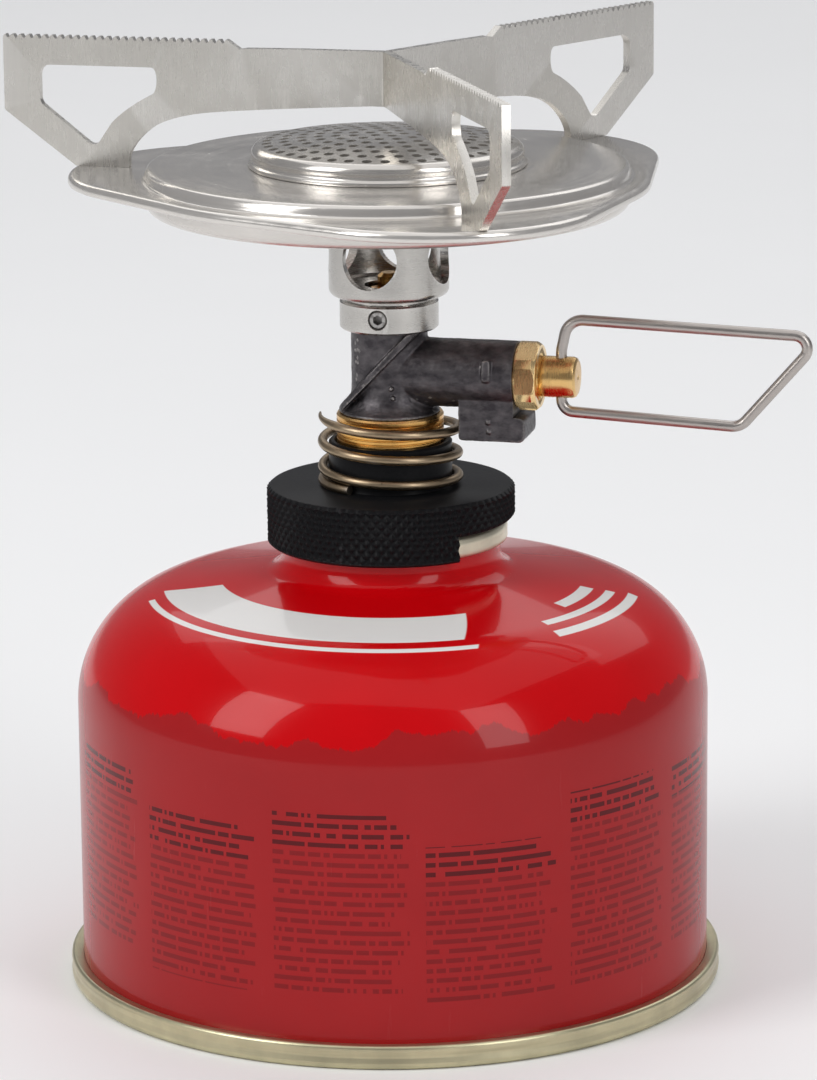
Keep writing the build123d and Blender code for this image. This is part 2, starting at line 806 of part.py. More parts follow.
cap_flange_top = seat_height + 0.5
cap_corner = 1.2
crown_wall = 0.8
with BuildPart() as burner_cap:
    with BuildSketch(Plane.XZ):
        with BuildLine():
            Polyline(
                (cap_seat_radius - press_gap - crown_wall, seat_height - plate_sheet),
                (cap_seat_radius - press_gap, seat_height - plate_sheet),
                (cap_seat_radius - press_gap, seat_height),
                (cap_flange_radius, seat_height),
                (cap_flange_radius, cap_flange_top),
                (cap_radius, cap_flange_top),
                (cap_radius, cap_rim_top - cap_corner),
            )
            CenterArc((cap_radius - cap_corner, cap_rim_top - cap_corner), cap_corner, 0, 90)
            ThreePointArc(
                (cap_radius - cap_corner, cap_rim_top),
                ((cap_radius - cap_corner) / 2, cap_rim_top + 0.75 * (cap_crown - cap_rim_top)),
                (0, cap_crown),
            )
            Line((0, cap_crown), (0, cap_crown - crown_wall))
            ThreePointArc(
                (0, cap_crown - crown_wall),
                (
                    (cap_radius - cap_corner) / 2,
                    cap_rim_top + 0.75 * (cap_crown - cap_rim_top) - crown_wall,
                ),
                (cap_radius - cap_corner, cap_rim_top - crown_wall),
            )
            Polyline(
                (cap_radius - cap_corner, cap_rim_top - crown_wall),
                (cap_radius - cap_corner, cap_flange_top),
                (cap_seat_radius - press_gap - crown_wall, cap_flange_top - 0.4),
                (cap_seat_radius - press_gap - crown_wall, seat_height - plate_sheet),
            )
        make_face()
    revolve(axis=Axis.Z)
    with BuildSketch(Plane.XY.offset(cap_rim_top - 2 * crown_wall)):
        Circle(perforation_radius)
        for ring_number in range(1, perforation_rings + 1):
            with PolarLocations(perforation_pitch * ring_number, 6 * ring_number):
                Circle(perforation_radius)
    extrude(amount=4, mode=Mode.SUBTRACT)
burner_cap.part.label = "burner_cap"
export_step(burner_cap.part, "parts/burner_cap.step")

# ---------------------------------------------------------------- pot support
tooth_pitch = (arm_reach - serration_end) / tooth_count


def serrated_edge():
    """The toothed top edge, from the arm's tip inwards, as radius and height."""
    points = []
    for tooth in range(tooth_count):
        start = arm_reach - tooth * tooth_pitch
        points.append((start, total_height))
        points.append((start - 0.35 * tooth_pitch, total_height))
        points.append((start - 0.6 * tooth_pitch, total_height - tooth_depth))
        points.append((start - 0.75 * tooth_pitch, total_height - tooth_depth))
    points.append((serration_end, total_height))
    return points


def arm_solid(angle, inner_end):
    """One vertical sheet arm with its serrated top, foot and window."""
    arm_plane = Plane(
        origin=(0, 0, 0),
        x_dir=(cos(radians(angle)), sin(radians(angle)), 0),
        z_dir=(sin(radians(angle)), -cos(radians(angle)), 0),
    )
    with BuildPart() as arm:
        with BuildSketch(arm_plane):
            with BuildLine():
                Polyline(
                    *serrated_edge(),
                    (serration_end - 2.2, total_height - centre_step),
                    (inner_end, total_height - centre_step),
                    (inner_end, total_height - centre_bottom),
                    (24.0, total_height - 9.9),
                )
                Spline(
                    (24.0, total_height - 9.9),
                    (31.2, total_height - 11.5),
                    (foot_inner, total_height - foot_depth + 1.2),
                    tangents=((1, -0.04), (0.35, -1)),
                )
                Polyline(
                    (foot_inner, total_height - foot_depth + 1.2),
                    (foot_inner, total_height - foot_depth),
                    (foot_outer, total_height - foot_depth),
                    (arm_reach, total_height - tip_depth),
                    (arm_reach, total_height),
                )
            make_face()
            with BuildLine():
                Line((48.5, total_height - 4.0), (48.5, total_height - 9.2))
                Line((48.5, total_height - 9.2), (42.0, total_height - 14.3))
                ThreePointArc(
                    (42.0, total_height - 14.3),
                    (40.6, total_height - 14.75),
                    (39.5, total_height - 14.0),
                )
                Spline(
                    (39.5, total_height - 14.0),
                    (36.7, total_height - 10.4),
                    (32.2, total_height - 7.6),
                    tangents=((-0.6, 1), (-1, 0.3)),
                )
                ThreePointArc(
                    (32.2, total_height - 7.6),
                    (30.7, total_height - 5.8),
                    (32.2, total_height - 4.0),
                )
                Line((32.2, total_height - 4.0), (48.5, total_height - 4.0))
            make_face(mode=Mode.SUBTRACT)
        extrude(amount=arm_sheet / 2, both=True)
    return arm.part


with BuildPart() as pot_support_v_strip:
    add(arm_solid(arm_angles[0], 0))
    add(arm_solid(arm_angles[1], 0))
    add(ring_solid(arm_sheet / 2, 0, total_height - centre_bottom, total_height - centre_step))
pot_support_v_strip.part.label = "pot_support_v_strip"
export_step(pot_support_v_strip.part, "parts/pot_support_v_strip.step")

with BuildPart() as pot_support_single_arm:
    add(arm_solid(arm_angles[2], arm_sheet / 2 + press_gap))
pot_support_single_arm.part.label = "pot_support_single_arm"
export_step(pot_support_single_arm.part, "parts/pot_support_single_arm.step")
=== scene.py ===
"""Looks of the upright canister stove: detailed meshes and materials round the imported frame."""

import json
import math

import bmesh
import bpy
from mathutils import Matrix, Vector, noise


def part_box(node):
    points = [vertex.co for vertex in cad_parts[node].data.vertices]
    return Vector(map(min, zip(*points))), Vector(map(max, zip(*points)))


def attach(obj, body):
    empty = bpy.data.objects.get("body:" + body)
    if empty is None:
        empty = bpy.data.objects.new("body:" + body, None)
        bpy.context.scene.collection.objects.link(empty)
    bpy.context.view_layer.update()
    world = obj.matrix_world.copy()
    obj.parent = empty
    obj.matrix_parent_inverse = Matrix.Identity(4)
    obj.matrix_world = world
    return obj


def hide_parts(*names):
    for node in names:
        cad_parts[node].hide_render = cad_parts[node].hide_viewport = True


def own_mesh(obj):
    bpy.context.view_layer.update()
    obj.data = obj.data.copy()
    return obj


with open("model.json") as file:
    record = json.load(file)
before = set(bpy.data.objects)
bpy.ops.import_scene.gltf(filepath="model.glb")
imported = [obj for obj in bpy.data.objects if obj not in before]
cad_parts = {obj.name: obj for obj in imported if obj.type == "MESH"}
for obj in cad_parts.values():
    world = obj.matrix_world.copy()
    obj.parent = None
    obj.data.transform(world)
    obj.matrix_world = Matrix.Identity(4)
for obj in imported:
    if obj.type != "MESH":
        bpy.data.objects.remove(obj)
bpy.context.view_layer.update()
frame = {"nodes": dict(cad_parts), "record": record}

MM = 0.001
BODY_OF = {n: body for body, names in frame["record"]["behaviour"]["bodies"].items() for n in names}
SLOT_OF = {part["node"]: part["material_slot"] for part in frame["record"]["subparts"]}


def box_mm(node):
    """Lowest and highest corner of a CAD node, in millimetres."""
    low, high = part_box(node)
    return low / MM, high / MM


# ------------------------------------------------------------------ mesh helpers
def make_object(name, vertices, faces, sharp_degrees=35.0):
    """A mesh object from millimetre vertices, smooth except at sharp edges."""
    mesh = bpy.data.meshes.new(name)
    mesh.from_pydata([Vector(v) * MM for v in vertices], [], faces)
    clean_normals(mesh)
    mesh.shade_smooth()
    mesh.set_sharp_from_angle(angle=math.radians(sharp_degrees))
    return linked(name, mesh)


def linked(name, data):
    """A new object with the given data, in the scene."""
    made = bpy.data.objects.new(name, data)
    bpy.context.scene.collection.objects.link(made)
    return made


def clean_normals(mesh):
    """Merges doubled points and turns every face outwards."""
    work = bmesh.new()
    work.from_mesh(mesh)
    bmesh.ops.remove_doubles(work, verts=work.verts, dist=1e-7)
    bmesh.ops.recalc_face_normals(work, faces=work.faces)
    work.to_mesh(mesh)
    work.free()


def weighted_normals(piece):
    """Keeps flat faces flat next to small roundings."""
    modifier = piece.modifiers.new("weighted_normals", "WEIGHTED_NORMAL")
    modifier.keep_sharp = True
    modifier.weight = 90
    return piece


def bevel_edges(piece, width_mm, segments=2, degrees=40.0):
    """Rounds a piece's real edges."""
    modifier = piece.modifiers.new("edge_rounding", "BEVEL")
    modifier.width = width_mm * MM
    modifier.segments = segments
    modifier.limit_method = "ANGLE"
    modifier.angle_limit = math.radians(degrees)
    modifier.harden_normals = True
    return piece


def apply_modifiers(piece):
    """Turns a piece's modifiers into its mesh."""
    graph = bpy.context.evaluated_depsgraph_get()
    mesh = bpy.data.meshes.new_from_object(piece.evaluated_get(graph))
    old = piece.data
    piece.modifiers.clear()
    piece.data = mesh
    bpy.data.meshes.remove(old)
    return piece


def cut(piece, tools, operation="DIFFERENCE"):
    """Cuts closed tool meshes out of a piece, and removes the tools."""
    for tool in tools:
        modifier = piece.modifiers.new("cut", "BOOLEAN")
        modifier.operation = operation
        modifier.solver = "EXACT"
        modifier.object = tool
    bpy.context.view_layer.update()
    apply_modifiers(piece)
    for tool in tools:
        bpy.data.objects.remove(tool)
    return piece


def arc_points(centre, radius, start, end, steps):
    """Points of a circular arc in a profile, angles in degrees."""
    points = []
    for step in range(steps + 1):
        angle = math.radians(start + (end - start) * step / steps)
        points.append((centre[0] + radius * math.cos(angle), centre[1] + radius * math.sin(angle)))
    return points


def corner_arc(before, corner, after, radius, steps):
    """The points that round a corner between its two neighbours."""
    here = Vector(corner[:2])
    before = (Vector(before[:2]) - here).normalized()
    after = (Vector(after[:2]) - here).normalized()
    half = before.angle(after) / 2
    centre = here + (before + after).normalized() * radius / math.sin(half)
    start = here + before * radius / math.tan(half) - centre
    end = here + after * radius / math.tan(half) - centre
    turn = -start.angle_signed(end)
    points = []
    for step in range(steps + 1):
        angle = turn * step / steps
        c, s = math.cos(angle), math.sin(angle)
        points.append(tuple(centre + Vector((c * start.x - s * start.y, s * start.x + c * start.y))))
    return points


def rounded(corners, steps=6):
    """A closed outline from corners (x, y) or (x, y, rounding radius)."""
    outline = []
    for index, corner in enumerate(corners):
        if len(corner) == 2:
            outline.append(tuple(Vector(corner)))
        else:
            after = corners[(index + 1) % len(corners)]
            outline += corner_arc(corners[index - 1], corner, after, corner[2], steps)
    return outline


def fillet_path(corners, steps=10):
    """An open path from corners (x, y, rounding radius), straight between its arcs."""
    points = [corners[0][:2]]
    for before, corner, after in zip(corners, corners[1:], corners[2:]):
        points += corner_arc(before, corner, after, corner[2], steps)
    points.append(corners[-1][:2])
    return points


def rounded_corner(corner, before, after, radius):
    """The arc that rounds one corner of an arm's outline."""
    return corner_arc(before, corner, after, radius, 5)


def divided(points, longest, closed=True):
    """An outline, or an open path, with its long runs divided."""
    shorter = []
    ends = points[1:] + points[:1] if closed else points[1:]
    for here, there in zip(points, ends):
        parts = max(1, math.ceil(math.dist(here, there) / longest))
        for part in range(parts):
            share = part / parts
            shorter.append((here[0] + (there[0] - here[0]) * share, here[1] + (there[1] - here[1]) * share))
    if not closed:
        shorter.append(points[-1])
    return shorter


def stand_up(radius, angle, height):
    """Lathe axis along +Z."""
    return (radius * math.cos(angle), radius * math.sin(angle), height)


def along_spindle(radius, angle, height):
    """Lathe axis along +X at the spindle's height; an angle of 0 points up."""
    return (height, -radius * math.sin(angle), spindle_height + radius * math.cos(angle))


def lathe(name, outline, segments=160, place=stand_up, relief=None, sweep=None, sharp_degrees=35.0):
    """Turns a closed outline of (radius, height) round an axis. outline may be a list with an
    outline for each step round. sweep is (start, end) in degrees for a part turn, which gets flat
    ends. relief changes a point's radius."""
    start, end = (0.0, 360.0) if sweep is None else sweep
    columns = segments if sweep is None else segments + 1
    outlines = outline if isinstance(outline[0], list) else [outline] * columns
    outline = outlines[0]
    vertices = []
    for column in range(columns):
        angle = math.radians(start + (end - start) * column / segments)
        for radius, height in outlines[column]:
            shown = radius if relief is None else relief(radius, angle, height)
            vertices.append(place(shown, angle, height))
    faces = []
    count = len(outline)
    for column in range(segments):
        following = (column + 1) % columns
        for row in range(count):
            above = (row + 1) % count
            if outline[row][0] < 1e-6 and outline[above][0] < 1e-6:
                continue
            faces.append(
                (
                    column * count + row,
                    following * count + row,
                    following * count + above,
                    column * count + above,
                )
            )
    if sweep is not None:
        faces.append(tuple(range(count)))
        faces.append(tuple(segments * count + row for row in range(count)))
    return make_object(name, vertices, tidy_faces(vertices, faces), sharp_degrees)


def tidy_faces(vertices, faces):
    """Drops repeated corners where a lathed outline meets its axis."""
    kept = []
    for face in faces:
        corners = []
        for index in face:
            if not corners or math.dist(vertices[index], vertices[corners[-1]]) > 1e-6:
                corners.append(index)
        if len(corners) > 2 and math.dist(vertices[corners[0]], vertices[corners[-1]]) < 1e-6:
            corners.pop()
        if len(corners) > 2:
            kept.append(tuple(corners))
    return kept


def tube(name, path, radii, sides=20):
    """A round wire along a path of millimetre points, with closed ends."""
    vertices = []
    normal = None
    for index, point in enumerate(path):
        here = Vector(point)
        ahead = Vector(path[min(index + 1, len(path) - 1)]) - Vector(path[max(index - 1, 0)])
        ahead.normalize()
        if normal is None:
            normal = ahead.orthogonal().normalized()
        normal = (normal - ahead * normal.dot(ahead)).normalized()
        across = ahead.cross(normal)
        for side in range(sides):
            angle = 2 * math.pi * side / sides
            spoke = normal * math.cos(angle) + across * math.sin(angle)
            vertices.append(here + spoke * radii[index])
    faces = []
    for index in range(len(path) - 1):
        for side in range(sides):
            beside = (side + 1) % sides
            faces.append(
                (
                    index * sides + side,
                    index * sides + beside,
                    (index + 1) * sides + beside,
                    (index + 1) * sides + side,
                )
            )
    faces.append(tuple(range(sides)))
    faces.append(tuple((len(path) - 1) * sides + side for side in range(sides)))
    return make_object(name, vertices, faces, 50.0)


def fill_flat(outlines):
    """A flat triangulated mesh from an outer outline and its holes, in the XY plane."""
    work = bmesh.new()
    edges = []
    for outline in outlines:
        corners = [work.verts.new((x, y, 0)) for x, y in outline]
        for index, corner in enumerate(corners):
            edges.append(work.edges.new((corner, corners[(index + 1) % len(corners)])))
    bmesh.ops.triangle_fill(work, edges=edges, use_beauty=True, use_dissolve=False)
    return work


def finish_piece(piece, material, *nodes):
    """Gives a piece its material and ties it to the CAD nodes that it stands for."""
    piece.data.materials.clear()
    piece.data.materials.append(material)
    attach(piece, BODY_OF[nodes[0]])
    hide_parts(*nodes)
    return piece


# ------------------------------------------------------------------ material helpers
class Graph:
    """A short way to write a material's node tree."""

    def __init__(self, name):
        self.material = bpy.data.materials.new(name)
        self.material.use_nodes = True
        self.tree = self.material.node_tree
        self.shader = self.tree.nodes["Principled BSDF"]

    def node(self, kind, **settings):
        made = self.tree.nodes.new(kind)
        for key, value in settings.items():
            setattr(made, key, value)
        return made

    def link(self, source, target):
        self.tree.links.new(source, target)

    def value(self, socket, amount):
        if isinstance(amount, bpy.types.NodeSocket):
            self.link(amount, socket)
        else:
            socket.default_value = amount

    def math(self, operation, first, second=0.0):
        made = self.node("ShaderNodeMath", operation=operation)
        for socket, amount in zip(made.inputs, (first, second)):
            self.value(socket, amount)
        return made.outputs[0]

    def place(self):
        return self.node("ShaderNodeTexCoord").outputs["Object"]

    def stretched(self, scale, vector=None):
        mapping = self.node("ShaderNodeMapping")
        mapping.inputs["Scale"].default_value = scale
        self.link(vector or self.place(), mapping.inputs["Vector"])
        return mapping.outputs["Vector"]

    def split(self, vector):
        made = self.node("ShaderNodeSeparateXYZ")
        self.link(vector, made.inputs[0])
        return made.outputs

    def join(self, x, y, z):
        made = self.node("ShaderNodeCombineXYZ")
        for socket, amount in zip(made.inputs, (x, y, z)):
            self.value(socket, amount)
        return made.outputs[0]

    def noise(self, vector, scale, detail=3.0, roughness=0.55):
        made = self.node("ShaderNodeTexNoise")
        self.link(vector, made.inputs["Vector"])
        made.inputs["Scale"].default_value = scale
        made.inputs["Detail"].default_value = detail
        made.inputs["Roughness"].default_value = roughness
        return made.outputs["Fac"]

    def span(self, factor, low, high, from_low=0.0, from_high=1.0):
        """factor, moved from one range to another."""
        made = self.node("ShaderNodeMapRange")
        self.value(made.inputs["Value"], factor)
        made.inputs["From Min"].default_value = from_low
        made.inputs["From Max"].default_value = from_high
        made.inputs["To Min"].default_value = low
        made.inputs["To Max"].default_value = high
        return made.outputs["Result"]

    def mix(self, factor, first, second):
        made = self.node("ShaderNodeMix", data_type="RGBA")
        self.value(made.inputs[0], factor)
        for socket, colour in ((made.inputs[6], first), (made.inputs[7], second)):
            if isinstance(colour, bpy.types.NodeSocket):
                self.link(colour, socket)
            else:
                socket.default_value = (*colour, 1)
        return made.outputs[2]

    def bump(self, height, strength, distance_mm):
        made = self.node("ShaderNodeBump")
        made.inputs["Strength"].default_value = strength
        made.inputs["Distance"].default_value = distance_mm * MM
        self.link(height, made.inputs["Height"])
        return made.outputs["Normal"]

    def edge_wear(self, low, high):
        """1 on outer edges, 0 elsewhere, from the surface's pointiness."""
        pointed = self.node("ShaderNodeNewGeometry").outputs["Pointiness"]
        return self.span(pointed, 0.0, 1.0, low, high)

    def polar(self):
        """Radius, angle and height of a point about the stove's axis."""
        x, y, z = self.split(self.place())
        squared = self.math("ADD", self.math("MULTIPLY", x, x), self.math("MULTIPLY", y, y))
        return self.math("SQRT", squared), self.math("ARCTAN2", y, x), z

    def set(self, **sockets):
        for name, amount in sockets.items():
            self.value(self.shader.inputs[name.replace("_", " ")], amount)


def steel(name, colour, roughness, grain, grain_strength=0.12, turned=False, patches=0.06, metallic=1.0):
    """Bare steel with a fine directional grain, faint patches and bright edges."""
    g = Graph(name)
    if turned:
        radius, angle, height = g.polar()
        grain_place = g.stretched(grain, g.join(radius, g.math("MULTIPLY", angle, 0.01), height))
    else:
        grain_place = g.stretched(grain)
    lines = g.noise(grain_place, 1.0, 5.0, 0.65)
    cloud = g.noise(g.place(), 90.0, 3.0)
    smear = g.noise(g.place(), 420.0, 2.0)
    dark = tuple(channel * (1 - 2.2 * patches) for channel in colour)
    tone = g.mix(g.span(cloud, 0.0, 1.0, 0.35, 0.68), dark, colour)
    bright = tuple(min(1.0, channel * 1.12) for channel in colour)
    tone = g.mix(g.math("MULTIPLY", g.span(lines, 0.0, 0.55, 0.45, 0.75), 0.8), tone, bright)
    tone = g.mix(g.math("MULTIPLY", g.edge_wear(0.52, 0.6), 0.35), tone, (0.85, 0.83, 0.8))
    rough = g.math("ADD", g.span(lines, -0.05, 0.07, 0.3, 0.7), roughness)
    rough = g.math("ADD", g.span(smear, -0.04, 0.05, 0.3, 0.7), rough)
    g.set(Base_Color=tone, Metallic=metallic, Roughness=rough)
    g.set(Normal=g.bump(lines, grain_strength, 0.03))
    return g.material


def brass(name, colour, roughness, grain, grain_strength=0.2):
    """Machined brass with tool lines and a little tarnish."""
    g = Graph(name)
    lines = g.noise(g.stretched(grain), 1.0, 4.0, 0.6)
    tarnish = g.span(g.noise(g.place(), 260.0, 4.0), 0.0, 1.0, 0.45, 0.75)
    tone = g.mix(g.math("MULTIPLY", tarnish, 0.55), colour, tuple(c * 0.55 for c in colour))
    tone = g.mix(g.math("MULTIPLY", g.edge_wear(0.52, 0.6), 0.5), tone, (0.95, 0.75, 0.42))
    rough = g.math("ADD", g.span(lines, -0.06, 0.08, 0.3, 0.7), roughness)
    rough = g.math("ADD", g.math("MULTIPLY", tarnish, 0.12), rough)
    g.set(Base_Color=tone, Metallic=1.0, Roughness=rough)
    g.set(Normal=g.bump(lines, grain_strength, 0.04))
    return g.material


def rubber(name):
    """Black rubber with a dusty bloom."""
    g = Graph(name)
    speckle = g.noise(g.place(), 3000.0, 3.0)
    bloom = g.span(g.noise(g.place(), 300.0, 3.0), 0.0, 1.0, 0.4, 0.7)
    g.set(Base_Color=g.mix(bloom, (0.012, 0.012, 0.012), (0.035, 0.034, 0.033)), Roughness=0.78)
    g.set(Normal=g.bump(speckle, 0.3, 0.02))
    return g.material


def plastic(name):
    """Pale moulded acetal."""
    g = Graph(name)
    cloud = g.noise(g.place(), 400.0, 3.0)
    g.set(Base_Color=g.mix(cloud, (0.72, 0.71, 0.67), (0.8, 0.79, 0.76)), Roughness=0.42)
    g.set(Normal=g.bump(g.noise(g.place(), 2500.0, 2.0), 0.12, 0.02))
    return g.material


def casting_metal(name):
    """Blackened zinc casting: dark, grainy, rubbed grey on its edges."""
    g = Graph(name)
    skin = g.noise(g.place(), 2600.0, 5.0, 0.65)
    flow = g.noise(g.stretched((500, 500, 900)), 1.0, 4.0)
    tone = g.mix(g.span(flow, 0.0, 1.0, 0.35, 0.7), (0.05, 0.045, 0.05), (0.13, 0.12, 0.125))
    rubbed = g.math("MULTIPLY", g.edge_wear(0.51, 0.57), g.span(skin, 0.2, 1.0, 0.35, 0.6))
    tone = g.mix(rubbed, tone, (0.36, 0.34, 0.33))
    rough = g.span(skin, 0.34, 0.52, 0.3, 0.7)
    g.set(Base_Color=tone, Metallic=0.85, Roughness=rough)
    g.set(Normal=g.bump(skin, 0.35, 0.05))
    return g.material


def anodised(name):
    """Black anodised aluminium with bright rubbed edges."""
    g = Graph(name)
    fine = g.noise(g.place(), 2200.0, 3.0)
    tone = g.mix(fine, (0.006, 0.006, 0.007), (0.013, 0.013, 0.014))
    tone = g.mix(g.math("MULTIPLY", g.edge_wear(0.56, 0.66), 0.10), tone, (0.2, 0.2, 0.21))
    g.set(Base_Color=tone, Metallic=0.0, Roughness=g.span(fine, 0.3, 0.4), Specular_IOR_Level=0.07)
    g.set(Normal=g.bump(fine, 0.08, 0.02))
    return g.material


def lacquered_tin(name, colour, roughness):
    """Tinplate under a thin gold-grey lacquer, scuffed in places."""
    g = Graph(name)
    radius, angle, height = g.polar()
    unrolled = g.join(radius, g.math("MULTIPLY", angle, 0.045), height)
    rubbed = g.noise(g.stretched((900, 40, 1400), unrolled), 1.0, 4.0)
    cloud = g.noise(g.place(), 140.0, 4.0)
    pale = tuple(min(1.0, channel * 1.35) for channel in colour)
    dark = tuple(channel * 0.78 for channel in colour)
    tone = g.mix(g.span(cloud, 0.0, 1.0, 0.35, 0.7), colour, pale)
    tone = g.mix(g.span(rubbed, 0.0, 0.6, 0.55, 0.75), tone, dark)
    rough = g.span(rubbed, roughness - 0.06, roughness + 0.1, 0.3, 0.7)
    g.set(Base_Color=tone, Metallic=0.9, Roughness=rough)
    g.set(Coat_Weight=0.25, Coat_Roughness=0.18)
    g.set(Normal=g.bump(rubbed, 0.12, 0.03))
    return g.material


def can_paint():
    """Glossy red lacquer over tinplate, with a plain white band on the shoulder and a darker lower
    field that holds wordless rows of dashes where a canister carries its notes."""
    g = Graph("can_paint")
    radius, angle, height = g.polar()
    turn = g.math("MULTIPLY", angle, 180 / math.pi)
    # the darker field's edge wanders up and down round the can
    ring = g.join(g.math("COSINE", angle), g.math("SINE", angle), 0.0)
    coarse = g.math("SUBTRACT", g.noise(ring, 2.6, 2.0), 0.5)
    ragged = g.math("SUBTRACT", g.noise(ring, 16.0, 5.0, 0.75), 0.5)
    edge = g.math("ADD", g.math("MULTIPLY", coarse, 0.012), g.math("MULTIPLY", ragged, 0.0035))
    below = g.math("SUBTRACT", g.math("ADD", edge, field_top * MM), height)
    field = g.span(below, 0.0, 1.0, -0.00012, 0.00012)
    # rows of dashes, in columns round the can
    across = g.math("MULTIPLY", angle, can_radius)
    row = g.math("DIVIDE", g.math("SUBTRACT", height, 0.5 * MM), dash_row * MM)
    row_number = g.math("FLOOR", row)
    row_place = g.math("FRACT", row)
    in_row = g.math("MULTIPLY", g.math("GREATER_THAN", row_place, 0.26), g.math("LESS_THAN", row_place, 0.74))
    column = g.math("DIVIDE", g.math("ADD", turn, 180.0), column_degrees)
    column_number = g.math("FLOOR", column)
    column_place = g.math("FRACT", column)
    seed = g.join(column_number, 0.0, 0.0)
    pick = g.node("ShaderNodeTexWhiteNoise", noise_dimensions="3D")
    g.link(seed, pick.inputs["Vector"])
    row_pick = g.node("ShaderNodeTexWhiteNoise", noise_dimensions="3D")
    g.link(g.join(column_number, row_number, 3.0), row_pick.inputs["Vector"])
    line_end = g.span(row_pick.outputs["Value"], 0.80, 0.95)
    started = g.math("GREATER_THAN", column_place, 0.05)
    in_column = g.math("MULTIPLY", started, g.math("LESS_THAN", column_place, line_end))
    words = g.node("ShaderNodeTexWhiteNoise", noise_dimensions="3D")
    letter = g.math("FLOOR", g.math("DIVIDE", across, 0.42))
    g.link(g.join(letter, row_number, 7.0), words.inputs["Vector"])
    gaps = g.math("GREATER_THAN", words.outputs["Value"], 0.2)
    column_top = g.span(pick.outputs["Value"], 0.030, 0.0405)
    upper = g.math("LESS_THAN", height, column_top)
    lower = g.math("GREATER_THAN", height, g.span(pick.outputs["Color"], 0.006, 0.012))
    ink = g.math("MULTIPLY", in_row, in_column)
    for factor in (gaps, upper, lower, field):
        ink = g.math("MULTIPLY", ink, factor)
    heading = g.math("GREATER_THAN", height, g.math("SUBTRACT", column_top, 0.0045))
    ink = g.math("MULTIPLY", ink, g.math("ADD", 0.42, g.math("MULTIPLY", heading, 0.4)))
    # the plain white band and three short lines on the shoulder
    white = shoulder_band(g, radius, turn, height)
    cloud = g.noise(g.place(), 60.0, 3.0)
    red = g.mix(g.span(cloud, 0.0, 1.0, 0.3, 0.7), red_low, red_high)
    printed = g.mix(g.span(cloud, 0.0, 1.0, 0.3, 0.7), field_low, field_high)
    tone = g.mix(field, red, printed)
    tone = g.mix(ink, tone, (0.045, 0.002, 0.004))
    tone = g.mix(white, tone, (0.82, 0.81, 0.79))
    scratch = g.noise(g.stretched((700, 700, 60)), 1.0, 6.0, 0.7)
    scuffs = g.span(scratch, 0.0, 1.0, 0.66, 0.74)
    orange_peel = g.noise(g.place(), 380.0, 2.0)
    rough = g.math("ADD", g.math("MULTIPLY", field, 0.06), g.math("MULTIPLY", scuffs, 0.1))
    g.set(Base_Color=tone, Metallic=0.0, Roughness=g.math("ADD", rough, 0.2))
    g.set(Coat_Weight=0.3, Coat_Roughness=0.04, Specular_IOR_Level=0.08)
    relief = g.math("ADD", g.math("MULTIPLY", orange_peel, 0.25), g.math("MULTIPLY", white, 0.4))
    g.set(Normal=g.bump(g.math("ADD", relief, g.math("MULTIPLY", ink, 0.2)), 0.12, 0.03))
    return g.material


def between(g, amount, low, high, soft):
    """1 where amount lies from low to high, with edges of a set softness."""
    rise = g.span(amount, 0.0, 1.0, low - soft, low + soft)
    fall = g.span(amount, 1.0, 0.0, high - soft, high + soft)
    return g.math("MULTIPLY", rise, fall)


def shoulder_band(g, radius, turn, height):
    """A wide white arc with slanted ends, a thin arc under it, and three short arcs beside them."""
    on_top = g.math("GREATER_THAN", height, 0.0475)
    slant = g.math("MULTIPLY", g.math("SUBTRACT", radius, 0.0275), 900.0)
    slanted_turn = g.math("ADD", turn, slant)
    white = 0.0
    for bearing, low, high, start, end in (
        (slanted_turn, 0.0235, 0.0312, -158.0, -55.0),
        (slanted_turn, 0.0327, 0.0335, -152.0, -51.0),
        (turn, 0.0262, 0.0280, -20.0, 2.0),
        (turn, 0.0296, 0.0309, -34.0, 3.0),
        (turn, 0.0325, 0.0338, -35.0, 6.0),
    ):
        ring = between(g, radius, low, high, 0.00006)
        arc = g.math("MULTIPLY", ring, between(g, bearing, start, end, 0.2))
        white = g.math("MAXIMUM", white, arc)
    return g.math("MULTIPLY", white, on_top)


# ------------------------------------------------------------------ shared sizes, from the frame
spindle_low, spindle_high = box_mm("spindle")
spindle_height = (spindle_low.z + spindle_high.z) / 2
spindle_radius = (spindle_high.z - spindle_low.z) / 2
can_high = box_mm("can_shell")[1]
can_radius = can_high.x
mouth_top = can_high.z
seam_radius = box_mm("can_base")[1].x
curl_high = box_mm("valve_cup")[1]
collar_low, collar_high = box_mm("lock_collar")
collar_radius = collar_high.x
sleeve_low, sleeve_high = box_mm("neck_sleeve")
tube_low = box_mm("mixing_tube")[0]
pan_low, pan_high = box_mm("burner_pan")
plate_low = box_mm("burner_plate")[0]
cap_high = box_mm("burner_cap")[1]
nut_low, nut_high = box_mm("gland_nut")
handle_low = box_mm("wire_handle")[0]
arm_top = box_mm("pot_support_v_strip")[1].z

field_top = 44.5
dash_row = 1.32
column_degrees = 27.0
red_low = (0.56, 0.0008, 0.003)
red_high = (0.60, 0.001, 0.004)
field_low = (0.35, 0.010, 0.012)
field_high = (0.38, 0.012, 0.014)


